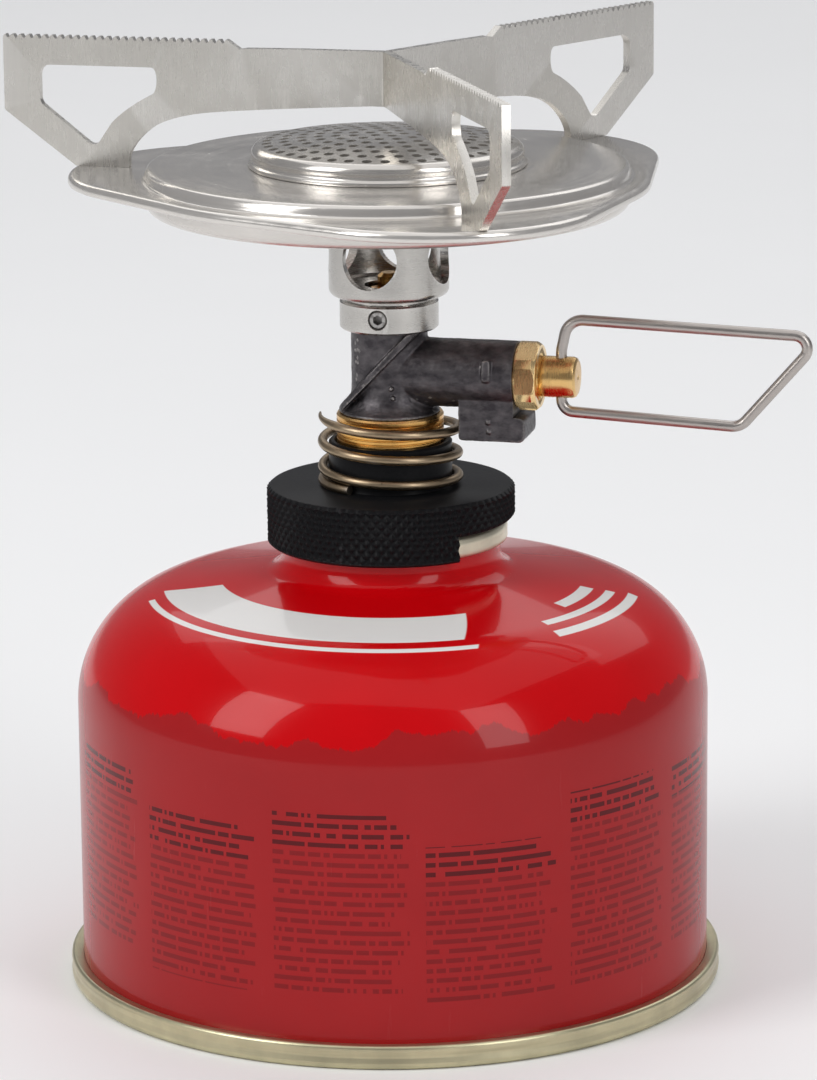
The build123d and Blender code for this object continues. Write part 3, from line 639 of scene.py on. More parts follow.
# ------------------------------------------------------------------ canister
def can_profile(inset):
    """The can's side, shoulder and cone as (radius, height), set in by a sheet's thickness."""
    side_top = 39.1
    shoulder = 15.8
    slope = 9.8
    centre = (can_radius - shoulder, side_top)
    points = [(can_radius - inset, 1.02)]
    points += arc_points(centre, shoulder - inset, 0, 90 - slope, 28)
    mouth = 14.9
    fillet = 3.0
    tilt = math.radians(slope)
    shoulder_end = arc_points(centre, shoulder, 90 - slope, 90 - slope, 1)[0]
    cone_top = shoulder_end[1] + (shoulder_end[0] - mouth) * math.tan(tilt)
    fillet_height = cone_top - fillet * math.tan(tilt) + fillet / math.cos(tilt)
    points += arc_points((mouth + fillet, fillet_height), fillet + inset, 270 - slope, 180, 10)
    points.append((mouth - inset, mouth_top))
    return points


def can_body():
    sheet = 0.5
    outline = can_profile(0) + list(reversed(can_profile(sheet)))
    return lathe("can_body", outline, 224)


def foot_seam():
    """The rolled double seam and the domed base in one turned sheet."""
    inner_wall = 41.78
    dome_top = 7.0
    seam_top = 3.4
    dome_radius = (inner_wall**2 + (dome_top - 1.2) ** 2) / (2 * (dome_top - 1.2))
    under = []
    over = []
    for step in range(17):
        radius = inner_wall * step / 16
        fall = dome_radius - math.sqrt(dome_radius**2 - radius**2)
        under.append((radius, dome_top - fall))
        over.append((radius, dome_top + 0.5 - fall))
    roll = rounded(
        [
            (inner_wall + 0.02, 0.0, 0.45),
            (seam_radius - 0.02, 0.0, 0.75),
            (seam_radius, 0.95, 0.3),
            (seam_radius - 0.16, 1.7, 0.8),
            (seam_radius - 0.02, 2.5, 0.6),
            (seam_radius - 0.02, seam_top, 0.5),
            (can_radius + 0.04, seam_top - 0.25),
            (can_radius + 0.02, 1.0),
            (can_radius - 0.52, 1.0),
            (can_radius - 0.52, 1.75),
        ],
        5,
    )
    outline = under + roll + list(reversed(over))
    return lathe("foot_seam", outline, 224)


def cup_curl():
    """The valve cup: crimped skirt, rolled rim and floor."""
    outer = curl_high.x
    inner = 13.4
    top = curl_high.z
    floor = 58.0
    middle = (outer + inner) / 2
    reach = (outer - inner) / 2
    edge = 61.2
    roll = arc_points((middle, top - reach), reach, 0, 180, 14)
    throat = arc_points((middle, top - reach), reach - 0.5, 180, 0, 10)
    outline = [(outer - 0.4, edge), (outer - 0.1, edge + 0.12), (outer, edge + 0.4)]
    outline += [(outer - 0.03, edge + 0.9), (outer - 0.03, edge + 1.4)] + roll
    outline += [(inner, floor + 0.8), (inner - 0.25, floor + 0.2), (inner - 0.9, floor), (10.5, floor)]
    outline += [(10.0, floor + 0.35), (8.6, floor + 0.35), (8.1, floor), (5.57, floor), (5.57, floor - 0.5)]
    outline += [(8.2, floor - 0.5), (8.8, floor - 0.15), (9.8, floor - 0.15), (10.4, floor - 0.5)]
    outline += [(13.2, floor - 0.5), (13.75, floor - 0.2), (13.9, floor + 0.6)] + throat
    outline += [(outer - 0.5, top - reach - 0.6), (outer - 0.62, top - reach - 1.0), (outer - 0.62, edge)]
    return lathe("cup_curl", outline, 192)


def boss_thread(radius, angle, height):
    """A 28 threads per inch screw thread, cut into the boss's cylinder."""
    top = 67.5
    if radius < 5.4 or height < 58.6:
        return radius
    pitch = 25.4 / 28
    turn = (height / pitch - angle / (2 * math.pi)) % 1.0
    crest = min(1.0, abs(turn - 0.5) * 2.6)
    fade = min(1.0, max(0.0, (top - height) / 0.9), max(0.0, (height - 58.6) / 0.8))
    return radius - 0.5 * (1 - crest) * fade


def threaded_boss():
    outer = 5.55
    rows = [(outer, 58.0 + 0.09 * step) for step in range(103)]
    outline = [(3.2, 56.0), (7.0, 56.0), (7.0, 57.5), (outer, 57.5)] + rows
    outline += [(outer - 0.35, 67.45), (2.6, 67.5), (2.3, 67.2), (2.3, 60.5)]
    outline += [(1.58, 60.5), (1.58, 58.5), (3.2, 58.5)]
    return lathe("boss_with_thread", outline, 96, relief=boss_thread)


# ------------------------------------------------------------------ collar and spring
knurls_round = 76
knurl_height = 1.64
knurl_depth = 0.42
collar_bottom_edge = collar_low.z
collar_top_face = 68.8
collar_step = 64.4
hub_radius = 8.4
hub_bore = 7.36


def knurl(radius, angle, height):
    """Diamond knurling: pointed studs left between two crossing sets of grooves."""
    if radius < collar_radius - 0.01:
        return radius
    round_it = knurls_round * angle / (2 * math.pi)
    up = (height - collar_bottom_edge) / knurl_height
    first = 1 - abs(2 * ((round_it + up) % 1.0) - 1)
    second = 1 - abs(2 * ((round_it - up) % 1.0) - 1)
    stud = min(1.0, 1.15 * min(first, second))
    edge = min(height - collar_bottom_edge, collar_top_face - height)
    fade = min(1.0, max(0.0, (edge - 0.25) / 0.35))
    return radius - 0.04 - knurl_depth * (1 - stud) * fade


def collar_wall(bottom, top):
    """The knurled wall's rows from bottom to top, spaced to the knurl."""
    step = knurl_height / 8
    rows = []
    height = bottom
    while height < top - 0.02:
        rows.append((collar_radius, height))
        height += step
    rows.append((collar_radius, top))
    return rows


def lock_collar():
    """Plate and hub of the collar, and the part of its skirt that isn't cut away."""
    chamfer = 0.5
    upper = [(hub_bore, collar_step), (collar_radius - 0.45, collar_step)]
    upper += collar_wall(collar_step + 0.3, collar_top_face - chamfer)
    upper += [(collar_radius - 0.55, collar_top_face - 0.08), (collar_radius - 0.75, collar_top_face)]
    upper += [(hub_radius + 0.45, collar_top_face), (hub_radius + 0.12, collar_top_face + 0.14)]
    upper += [(hub_radius, collar_top_face + 0.5), (hub_radius, collar_high.z - 0.3)]
    upper += [(hub_radius - 0.3, collar_high.z), (hub_bore + 0.3, collar_high.z)]
    upper += [(hub_bore, collar_high.z - 0.35)]
    ring = lathe("lock_collar_plate", upper, knurls_round * 8, relief=knurl, sharp_degrees=28)
    skirt_inner = 16.2
    skirt = [(skirt_inner, collar_bottom_edge + 0.1), (skirt_inner + 0.1, collar_bottom_edge)]
    skirt += [(collar_radius - 0.42, collar_bottom_edge)]
    skirt += collar_wall(collar_bottom_edge + 0.3, collar_step + 0.25)
    skirt += [(skirt_inner, collar_step + 0.25)]
    segments = round(knurls_round * 8 * 250 / 360)
    wall = lathe("lock_collar_skirt", skirt, segments, relief=knurl, sweep=(67.0, 317.0), sharp_degrees=28)
    return ring, wall


def collar_spring():
    """Left-hand coil of round wire: closed at the collar, ground to a thin tip at the top."""
    wire = 1.3
    mean_radius = 9.25
    start_angle = -113.0
    turns = 3.17
    pitch = 3.5
    lag = 0.62
    softness = 0.15
    steps = 300
    first = pitch * softness * math.log(1 + math.exp(-lag / softness))
    path = []
    radii = []
    for step in range(steps + 1):
        turn = turns * step / steps
        rise = pitch * softness * math.log(1 + math.exp((turn - lag) / softness)) - first
        angle = math.radians(start_angle - 360 * turn)
        left = (turns - turn) * 2 * math.pi * mean_radius
        thin = min(1.0, 0.25 + 0.75 * left / 7.0)
        spread = mean_radius + 0.35 * max(0.0, 1 - left / 6.0)
        path.append((spread * math.cos(angle), spread * math.sin(angle), collar_top_face + wire / 2 + rise))
        radii.append(wire / 2 * thin)
    return tube("collar_spring_coil", path, radii, 24)


def neck_sleeve():
    """Turned brass sleeve with fine grooves, a clip groove and a threaded socket."""
    outer = 7.3
    roof = 68.6
    outline = [(5.6, sleeve_low.z + 0.4), (6.0, sleeve_low.z)]
    outline += [(outer - 0.3, sleeve_low.z), (outer, sleeve_low.z + 0.3)]
    outline += [(outer, 63.5), (6.9, 63.5), (6.9, 64.1), (outer, 64.1), (outer, 75.2)]
    height = 75.3
    while height < sleeve_high.z - 0.75:
        outline += [(outer, height), (outer - 0.09, height + 0.1)]
        outline += [(outer - 0.09, height + 0.18), (outer, height + 0.3)]
        height += 0.62
    outline += [(outer, sleeve_high.z - 0.25), (outer - 0.2, sleeve_high.z), (4.4, sleeve_high.z)]
    outline += [(4.4, 76.0), (3.2, 76.0), (3.2, 73.5), (1.3, 73.5), (1.3, roof), (5.6, roof)]
    return lathe("brass_neck_sleeve", outline, 160)


# ------------------------------------------------------------------ valve
neck_radius = 5.2
foot_radius = 6.8
barrel_radius = 4.65
barrel_end = 17.9
neck_top = 90.5


def slab(name, outline, start, end):
    """A plate with an (x, z) outline that runs from y = start to y = end."""
    count = len(outline)
    vertices = [(x, start, z) for x, z in outline] + [(x, end, z) for x, z in outline]
    faces = [tuple(range(count)), tuple(range(2 * count - 1, count - 1, -1))]
    for index in range(count):
        after = (index + 1) % count
        faces.append((index, after, count + after, count + index))
    return make_object(name, vertices, faces)


def join(name, pieces):
    """Puts several meshes into one object."""
    work = bmesh.new()
    for piece in pieces:
        work.from_mesh(piece.data)
    mesh = bpy.data.meshes.new(name)
    work.to_mesh(mesh)
    work.free()
    for piece in pieces:
        bpy.data.objects.remove(piece)
    return linked(name, mesh)


def remeshed(piece, voxel_mm, rounds, strength=0.5):
    """One skin over overlapping solids, with its inner corners softened like a casting's."""
    modifier = piece.modifiers.new("skin", "REMESH")
    modifier.mode = "VOXEL"
    modifier.voxel_size = voxel_mm * MM
    apply_modifiers(piece)
    modifier = piece.modifiers.new("soften", "SMOOTH")
    modifier.factor = strength
    modifier.iterations = rounds
    apply_modifiers(piece)
    piece.data.shade_smooth()
    return piece


def rough_skin(piece, coarse_mm, fine_mm):
    """Moves a casting's surface in and out a little, as its mould left it."""
    mesh = piece.data
    normals = [vertex.normal.copy() for vertex in mesh.vertices]
    for vertex, normal in zip(mesh.vertices, normals):
        place = vertex.co / MM
        amount = coarse_mm * noise.fractal(place * 0.7, 1.0, 2.0, 3)
        amount += fine_mm * noise.fractal(place * 3.2, 1.0, 2.0, 2)
        vertex.co += normal * (amount * MM)
    return piece


def valve_casting():
    """Foot, neck, barrel, block and parting ridge as one casting, machined at its fitted faces."""
    flare = [(foot_radius, 78.8), (foot_radius, 79.05)]
    flare += arc_points((neck_radius + 4.0, 82.3), 4.0, 232, 180, 10)
    turned = [(0, 76.1), (4.36, 76.1), (4.36, 78.8)] + flare + [(neck_radius, neck_top), (0, neck_top)]
    column = lathe("column", turned, 96)
    rod = [(0, -1.0), (barrel_radius, -1.0), (barrel_radius, barrel_end + 0.8), (0, barrel_end + 0.8)]
    barrel = lathe("barrel", rod, 96, along_spindle)
    block_low = 75.9
    block_end = 19.5
    block = slab(
        "block",
        rounded(
            [
                (10.3, 81.5),
                (10.3, block_low, 0.5),
                (block_end, block_low, 0.9),
                (block_end, 79.1, 0.3),
                (barrel_end + 0.5, 79.4),
                (barrel_end + 0.5, 81.5),
            ],
            4,
        ),
        -3.6,
        3.6,
    )
    ridge_cone = lathe("ridge_cone", [(0, 79.0), (6.95, 79.0), (5.75, 90.45), (0, 90.45)], 96)
    ridge = slab("ridge", [(4.1, 91.0), (5.1, 90.6), (-6.2, 78.9), (-7.2, 79.0)], -9, 9)
    ridge = cut(ridge_cone, [ridge], "INTERSECT")
    pad_corners = [(13.8, 84.3, 0.45), (15.0, 84.3, 0.45), (15.0, 87.3, 0.45), (13.8, 87.3, 0.45)]
    pad = slab("pad", rounded(pad_corners, 4), -4.95, -4.0)
    nibs = []
    for x, z in ((14.4, 82.6), (14.5, 78.6), (14.6, 77.3), (1.7, 81.7), (1.5, 83.0)):
        face = -5.55 if x < neck_radius else -3.85
        nibs.append(slab("nib", arc_points((x, z), 0.28, 0, 330, 11), face, -3.0))
    casting = join("valve_casting", [column, barrel, block, ridge, pad] + nibs)
    remeshed(casting, 0.16, 5)
    rough_skin(casting, 0.035, 0.02)
    end_cut = slab("end_cut", [(barrel_end, 79.3), (24, 79.3), (24, 92), (barrel_end, 92)], -9, 9)
    spigot_cut = slab("spigot_cut", [(-9, neck_top), (9, neck_top), (9, 96), (-9, 96)], -9, 9)
    hollow = [(0, 3.0), (2.86, 3.4), (2.86, 14.5), (3.88, 14.5), (3.88, 24), (0, 24)]
    bore = lathe("bore", hollow, 64, along_spindle)
    cut(casting, [end_cut, spigot_cut, bore])
    spigot = [(1.9, neck_top - 0.5), (4.58, neck_top - 0.5), (4.58, 94.1), (4.4, 94.3), (1.9, 94.3)]
    stub = lathe("valve_casting_spigot", spigot, 96)
    casting.data.set_sharp_from_angle(angle=math.radians(38))
    return casting, stub


def gland_nut():
    """Brass gland nut: hexagon with turned end chamfers, washer face and bored hole."""
    flats = (nut_high.y - nut_low.y) / 2
    start = barrel_end + 0.02
    end = nut_high.x
    corner = flats / math.cos(math.radians(30))
    hexagon = [
        (corner * math.sin(math.radians(60 * side)), corner * math.cos(math.radians(60 * side)))
        for side in range(6)
    ]
    vertices = [(start + 0.3, y, spindle_height + z) for y, z in hexagon]
    vertices += [(end, y, spindle_height + z) for y, z in hexagon]
    faces = [tuple(range(6)), tuple(range(11, 5, -1))]
    faces += [(side, (side + 1) % 6, 6 + (side + 1) % 6, 6 + side) for side in range(6)]
    prism = make_object("gland_nut_hexagon", vertices, faces)
    widest = box_mm("gland_nut")[1].z - spindle_height
    turned = [(0, start - 1), (widest, start - 1), (widest, end - 0.55), (flats - 0.1, end)]
    limit = lathe("limit", turned + [(flats - 0.1, end + 0.5), (0, end + 0.5)], 96, along_spindle)
    cut(prism, [limit], "INTERSECT")
    disc = [(0, start), (flats - 0.05, start), (flats + 0.02, start + 0.1)]
    disc += [(flats + 0.02, start + 0.32), (0, start + 0.32)]
    washer = lathe("washer", disc, 96, along_spindle)
    plug = [(0, 14.52), (3.84, 14.52), (3.84, start + 0.1), (0, start + 0.1)]
    nose = lathe("nose", plug, 64, along_spindle)
    cut(prism, [washer, nose], "UNION")
    bore_radius = spindle_radius + 0.05
    hollow = [(0, 13), (bore_radius, 13), (bore_radius, end - 0.35), (bore_radius + 0.4, end + 0.05)]
    bore = lathe("bore", hollow + [(bore_radius + 0.4, end + 2), (0, end + 2)], 64, along_spindle)
    cut(prism, [bore])
    bevel_edges(prism, 0.07, 2, 25)
    prism.name = "gland_nut_brass"
    return prism


def spindle():
    """Brass spindle: needle, seal groove, knob end with a chamfer and a cross hole for the wire."""
    r = spindle_radius
    tip = spindle_low.x
    end = spindle_high.x
    outline = [(0, tip), (0.5, tip), (1.6, tip + 1.9), (r, tip + 1.95)]
    outline += [(r, 9.0), (1.9, 9.0), (1.9, 10.6), (r, 10.6)]
    outline += [(r, 20.9), (r - 0.05, 21.0), (r - 0.05, 21.25), (r, 21.35), (r, end - 0.62)]
    outline += [(r - 0.16, end - 0.24), (r - 0.5, end - 0.03), (r - 0.75, end)]
    outline += [(0.35, end), (0.22, end - 0.12), (0, end - 0.2)]
    shaft = lathe("brass_spindle", divided(outline, 1.2), 96, along_spindle, sharp_degrees=30)

    def through_knob(radius, angle, height):
        return (handle_x + radius * math.cos(angle), radius * math.sin(angle), spindle_height + height)

    hole = lathe("hole", [(0, -4), (0.8, -4), (0.8, 4), (0, 4)], 40, through_knob)
    cut(shaft, [hole])
    return bevel_edges(shaft, 0.06, 2, 40)


handle_x = handle_low.x + 0.75


def wire_handle():
    """One bent steel wire, hooked into both sides of the spindle."""
    corners = [
        (handle_x, spindle_height + 0.7, 0),
        (handle_x, 88.2, 4.0),
        (24.72, 92.47, 2.6),
        (59.2, 91.3, 1.75),
        (48.25, 78.65, 2.5),
        (handle_x, 79.83, 1.7),
        (handle_x, spindle_height - 0.7, 0),
    ]
    flat = divided(fillet_path(corners), 1.2, closed=False)
    path = [(x, 0.0, z) for x, z in flat]
    wire = 0.75
    radii = [wire] * len(path)
    radii[0] = radii[-1] = wire - 0.15
    return tube("wire_handle_loop", path, radii, 28)


# ------------------------------------------------------------------ burner
air_hole_height = 100.8
first_air_hole = -97.0
screw_height = 92.6


def outward(direction_degrees, height):
    """Lathe axis along a level direction, at a height."""
    turn = math.radians(direction_degrees)
    c, s = math.cos(turn), math.sin(turn)

    def place(radius, angle, reach):
        side = radius * math.cos(angle)
        return (reach * c - side * s, reach * s + side * c, height + radius * math.sin(angle))

    return place


def mixing_tube():
    """Turned steel tube with four air holes, a waist and a clamp ring."""
    outer = 8.15
    bore = 7.1
    outline = [(4.62, tube_low.z), (6.45, tube_low.z), (6.7, tube_low.z + 0.25), (6.7, 94.15)]
    outline += [(6.45, 94.4), (6.05, 94.4), (6.0, 94.45), (6.0, 94.95), (6.05, 95.0)]
    outline += [(outer - 1.0, 95.0)] + arc_points((outer - 1.0, 96.0), 1.0, -80, 0, 8)
    outline += [(outer, 107.5), (9.4, 107.5), (9.4, 108.0), (bore, 108.0), (bore, 96.6)]
    outline += [(bore - 0.3, 96.3), (3.3, 96.3), (3.3, 94.32), (4.62, 94.32)]
    piece = lathe("mixing_tube_turned", divided(outline, 0.9), 128)
    tools = []
    for quarter in range(4):
        outline = [(0, 3.0), (3.9, 3.0), (3.9, 12.0), (0, 12.0)]
        tools.append(lathe("hole", outline, 72, outward(first_air_hole + 90 * quarter, air_hole_height)))
    outline = [(0, 4.0), (1.28, 4.0), (1.28, 6.45), (1.42, 6.75), (1.42, 9.0), (0, 9.0)]
    tools.append(lathe("hole", outline, 48, outward(-90, screw_height)))
    cut(piece, tools)
    bevel_edges(piece, 0.09, 2, 50)
    return weighted_normals(piece)


def set_screw():
    """Cup-point grub screw with a hexagon socket, flush in the clamp ring."""
    outline = [(0, 4.62), (1.0, 4.62), (1.24, 4.85), (1.24, 6.3), (1.08, 6.52), (0.62, 6.52), (0, 6.45)]
    piece = lathe("grub_screw", outline, 48, outward(-90, screw_height))
    vertices = []
    for reach in (5.3, 7.2):
        for side in range(6):
            angle = math.radians(60 * side + 30)
            vertices.append((0.7 * math.cos(angle), -reach, screw_height + 0.7 * math.sin(angle)))
    faces = [tuple(range(6)), tuple(range(11, 5, -1))]
    faces += [(side, (side + 1) % 6, 6 + (side + 1) % 6, 6 + side) for side in range(6)]
    cut(piece, [make_object("socket", vertices, faces)])
    return bevel_edges(piece, 0.04, 2, 40)


def burner_pan():
    """Pressed pan under the plate: floor, large rolled corner and side wall."""
    sheet = 0.8
    corner = 1.4
    outer = pan_high.x
    floor = pan_low.z
    inner = 8.17
    outline = [(inner, floor), (inner + 2.2, floor), (inner + 3.0, floor + 0.25)]
    outline += [(inner + 4.0, floor + 0.25), (inner + 4.8, floor)]
    outline += arc_points((outer - corner, floor + corner), corner, -90, 0, 12)
    outline += [(outer, pan_high.z - 0.02), (outer - sheet, pan_high.z - 0.02)]
    outline += arc_points((outer - corner, floor + corner), corner - sheet, 0, -90, 12)
    over = floor + sheet
    outline += [(inner + 4.8, over), (inner + 4.0, over + 0.25), (inner + 3.0, over + 0.25)]
    outline += [(inner + 2.2, over), (inner, over)]
    return lathe("burner_pan_pressed", outline, 192)


plate_radius = 35.5
lobe_distance = 22.1
lobe_radius = 21.9


def plate_edge(angle):
    """The plate's outline, as a radius by angle: a round middle and three lobes, joined by tangents."""
    away = math.radians(abs(math.degrees(angle) % 120.0 - 60.0))
    leave = math.acos((plate_radius - lobe_radius) / lobe_distance)
    lobe_end = math.atan2(lobe_radius * math.sin(leave), lobe_distance + lobe_radius * math.cos(leave))
    if away < lobe_end:
        aside = lobe_distance * math.sin(away)
        return lobe_distance * math.cos(away) + math.sqrt(lobe_radius**2 - aside**2)
    if away < leave:
        return plate_radius / math.cos(leave - away)
    return plate_radius


def burner_plate():
    """Pressed three-lobed plate: raised centre, soft shoulder, flange and rolled edge."""
    top = 111.2
    plateau = top + 1.6
    under = 110.2
    low = plate_low.z
    bead = 0.8
    columns = 360
    outlines = []
    for column in range(columns):
        edge = plate_edge(2 * math.pi * column / columns) - 0.02
        outline = [(17.32, plateau - 0.9), (17.32, plateau - 0.1), (17.45, plateau)]
        outline += [(19.2, plateau), (26.0, plateau)]
        outline += arc_points((31.85, plateau - 0.75), 0.75, 90, 16, 7)
        outline += [(32.72, top + 0.62)]
        outline += arc_points((33.28, top + 0.55), 0.55, 196, 270, 6)
        outline.append((33.4 + (edge - bead - 33.4) * 0.5, top))
        outline += arc_points((edge - bead, top - bead), bead, 90, 0, 8)
        outline += [(edge, low + 0.25), (edge - 0.08, low + 0.07), (edge - 0.25, low), (edge - 0.6, low)]
        outline += [(edge - 0.85, low + 0.12), (edge - 0.95, under), (edge - 1.2, under + 0.02)]
        outline += [(32.0, under), (31.7, under + 0.5), (31.0, plateau - 0.9)]
        outlines.append(outline)
    return lathe("burner_plate_pressed", outlines, columns, sharp_degrees=50)


def burner_cap():
    """Domed cap with rings of punched holes, a deep rounded rim and a thin base ring."""
    wall = 0.8
    rim = 115.7
    crown = cap_high.z
    corner = 1.25
    outer = 18.4
    flat = outer - corner
    rings = 7
    pitch = 2.32
    hole = 0.67
    segments = 180
    rim_circle = arc_points((0, 0), flat, 0, 360 * (segments - 1) / segments, segments - 1)
    loops = [rim_circle, arc_points((0, 0), hole, 0, 342, 19)]
    for ring in range(1, rings + 1):
        for number in range(6 * ring):
            turn = 2 * math.pi * number / (6 * ring)
            centre = (pitch * ring * math.cos(turn), pitch * ring * math.sin(turn))
            loops.append(arc_points(centre, hole, 0, 342, 19))
    sheet = fill_flat(loops)
    for vertex in sheet.verts:
        share = math.hypot(vertex.co.x, vertex.co.y) / flat
        vertex.co.z = rim + (crown - rim) * (1 - share**2)
    # rim, wall and base ring as rows below the dome's edge
    rows = arc_points((flat, rim - corner), corner, 82, 0, 8)
    rows += [(outer - 0.02, 114.2), (outer - 0.06, 113.85), (outer + 0.02, 113.62), (outer + 0.16, 113.48)]
    rows += [(cap_high.x - 0.08, 113.4), (cap_high.x - 0.01, 113.28), (cap_high.x - 0.01, 112.98)]
    rows += [(cap_high.x - 0.05, 112.86)]
    edge = [vertex for vertex in sheet.verts if math.hypot(vertex.co.x, vertex.co.y) > flat - 0.01]
    edge.sort(key=lambda vertex: math.atan2(vertex.co.y, vertex.co.x) % (2 * math.pi - 1e-6))
    for radius, height in rows:
        below = []
        for vertex in edge:
            turn = math.atan2(vertex.co.y, vertex.co.x)
            below.append(sheet.verts.new((radius * math.cos(turn), radius * math.sin(turn), height)))
        for index, vertex in enumerate(edge):
            after = (index + 1) % len(edge)
            sheet.faces.new((vertex, edge[after], below[after], below[index]))
        edge = below
    bmesh.ops.recalc_face_normals(sheet, faces=sheet.faces)
    if sum(face.normal.z for face in sheet.faces) < 0:
        bmesh.ops.reverse_faces(sheet, faces=sheet.faces)
    bmesh.ops.scale(sheet, vec=(MM, MM, MM), verts=sheet.verts)
    mesh = bpy.data.meshes.new("burner_cap_punched")
    sheet.to_mesh(mesh)
    sheet.free()
    piece = linked("burner_cap_punched", mesh)
    mesh.shade_smooth()
    modifier = piece.modifiers.new("wall", "SOLIDIFY")
    modifier.thickness = wall * MM
    modifier.offset = -1
    modifier.use_even_offset = True
    apply_modifiers(piece)
    piece.data.set_sharp_from_angle(angle=math.radians(40))
    bevel_edges(piece, 0.07, 2, 55)
    return piece


# ------------------------------------------------------------------ pot support
arm_reach = 53.6
arm_sheet = 1.2
tooth_count = 28
tooth_depth = 0.5
serration_end = 22.2
foot_inner = 36.1
foot_outer = 43.6
bend_radius = 0.95


def arm_outline(inner_end):
    """One arm's outline as (radius, height), from its toothed top edge round to the centre."""
    pitch = (arm_reach - serration_end) / tooth_count
    points = [(arm_reach, arm_top - 0.35)]
    for tooth in range(tooth_count):
        start = arm_reach - tooth * pitch
        if tooth == 0:
            start -= 0.18
        points.append((start, arm_top - 0.03))
        points.append((start - 0.06, arm_top))
        points.append((arm_reach - (tooth + 0.35) * pitch, arm_top))
        points.append((arm_reach - (tooth + 0.6) * pitch, arm_top - tooth_depth))
        points.append((arm_reach - (tooth + 0.75) * pitch, arm_top - tooth_depth))
    points.append((serration_end, arm_top))
    points.append((serration_end - 0.25, arm_top))
    points += [(serration_end - 2.0, arm_top - 1.25), (serration_end - 2.8, arm_top - 1.1)]
    points += [(12.0, arm_top - 1.0), (inner_end, arm_top - 1.0)]
    points += [(inner_end, arm_top - 8.3)]
    points += hermite((inner_end, arm_top - 8.3), (24.0, arm_top - 9.85), (24.0, -1.3), (22.0, -2.0), 12)[1:]
    points += hermite((24.0, arm_top - 9.85), (32.3, arm_top - 12.0), (7.0, -0.65), (6.6, -4.0), 12)[1:]
    points += hermite((32.3, arm_top - 12.0), (foot_inner, arm_top - 16.6), (3.9, -2.4), (0.9, -5.6), 10)[1:]
    toe = arm_top - 17.78
    points += rounded_corner((foot_inner, toe), (foot_inner, toe + 1.18), (foot_outer, toe), 0.15)
    points += rounded_corner((foot_outer, toe), (foot_inner, toe), (arm_reach, arm_top - 10.3), 0.35)
    points += rounded_corner((arm_reach, arm_top - 10.3), (foot_outer, toe), (arm_reach, arm_top), 0.5)
    return points


def hermite(start, end, leave, arrive, steps):
    """Points of a smooth curve from start to end, with the given slopes at its ends."""
    points = []
    for step in range(steps + 1):
        t = step / steps
        a = 2 * t**3 - 3 * t**2 + 1
        b = t**3 - 2 * t**2 + t
        c = -2 * t**3 + 3 * t**2
        d = t**3 - t**2
        points.append(tuple(a * p + b * m + c * q + d * n for p, m, q, n in zip(start, leave, end, arrive)))
    return points


def arm_window():
    """The opening in an arm, as a closed outline of (radius, height)."""
    top = arm_top - 4.0
    right = 48.5
    points = rounded_corner((right, top), (33, top), (right, top - 5), 1.5)
    points += rounded_corner((right, top - 5.2), (right, top), (42.0, top - 10.3), 1.3)
    points += rounded_corner((40.75, top - 11.3), (right, top - 5.2), (38.6, top - 7.6), 1.1)
    points += hermite((38.8, top - 8.2), (32.7, top - 3.75), (-2.6, 4.0), (-5.6, 2.3), 10)[1:]
    points += hermite((32.7, top - 3.75), (32.7, top), (-2.9, 1.2), (3.1, 0.0), 8)[1:]
    return points


def upright_sheet(name, outlines, place):
    """A sheet cut to flat outlines of (length, height) and set upright along a path."""
    work = fill_flat(outlines)
    for cut_at in [step * 0.15 for step in range(-8, 9)]:
        geometry = list(work.verts) + list(work.edges) + list(work.faces)
        bmesh.ops.bisect_plane(work, geom=geometry, plane_co=(cut_at, 0, 0), plane_no=(1, 0, 0), dist=1e-5)
    bmesh.ops.recalc_face_normals(work, faces=work.faces)
    front = list(work.faces)
    back = bmesh.ops.duplicate(work, geom=list(work.verts) + list(work.edges) + front)
    matching = back["vert_map"]
    rims = [edge for edge in work.edges if len(edge.link_faces) == 1 and edge.link_faces[0] in set(front)]
    for edge in rims:
        first, second = edge.verts
        work.faces.new((first, second, matching[second], matching[first]))
    behind = {matching[vertex] for face in front for vertex in face.verts}
    for vertex in work.verts:
        side = -0.5 if vertex in behind else 0.5
        vertex.co = Vector(place(vertex.co.x, vertex.co.y, side * arm_sheet)) * MM
    bmesh.ops.recalc_face_normals(work, faces=work.faces)
    mesh = bpy.data.meshes.new(name)
    work.to_mesh(mesh)
    work.free()
    mesh.shade_smooth()
    mesh.set_sharp_from_angle(angle=math.radians(35))
    piece = linked(name, mesh)
    bevel_edges(piece, 0.1, 2, 35)
    return piece


def pot_support_v():
    """The bent strip that makes two arms: one at 180 degrees, and one at -60 degrees."""
    inner = 0.0
    half = arm_outline(inner)
    split = half.index((inner, arm_top - 1.0))
    to_centre = half[:split]
    from_centre = half[split + 2 :]
    # the arm at 180 degrees has negative lengths, and the other one positive lengths
    outline = list(to_centre)
    outline += [(-s, z) for s, z in reversed(to_centre)]
    outline += [(-s, z) for s, z in reversed(from_centre)]
    outline += from_centre
    window = arm_window()
    mirrored = [(-s, z) for s, z in window]
    turn = math.radians(60)
    tangent = bend_radius * math.tan(turn / 2)

    def place(length, height, side):
        if abs(length) >= tangent:
            direction = math.radians(-60) if length > 0 else math.pi
            reach = abs(length)
            c, s = math.cos(direction), math.sin(direction)
            # a positive side lies to the left of the way from the 180 degree arm to the other
            normal = (-s, c) if length > 0 else (s, -c)
            return (reach * c + side * normal[0], reach * s + side * normal[1], height)
        share = length / tangent * turn / 2
        centre = (-tangent, -bend_radius)
        angle = math.radians(90) - (share + turn / 2)
        radius = bend_radius + side
        return (centre[0] + radius * math.cos(angle), centre[1] + radius * math.sin(angle), height)

    return upright_sheet("pot_support_bent_strip", [outline, window, mirrored], place)


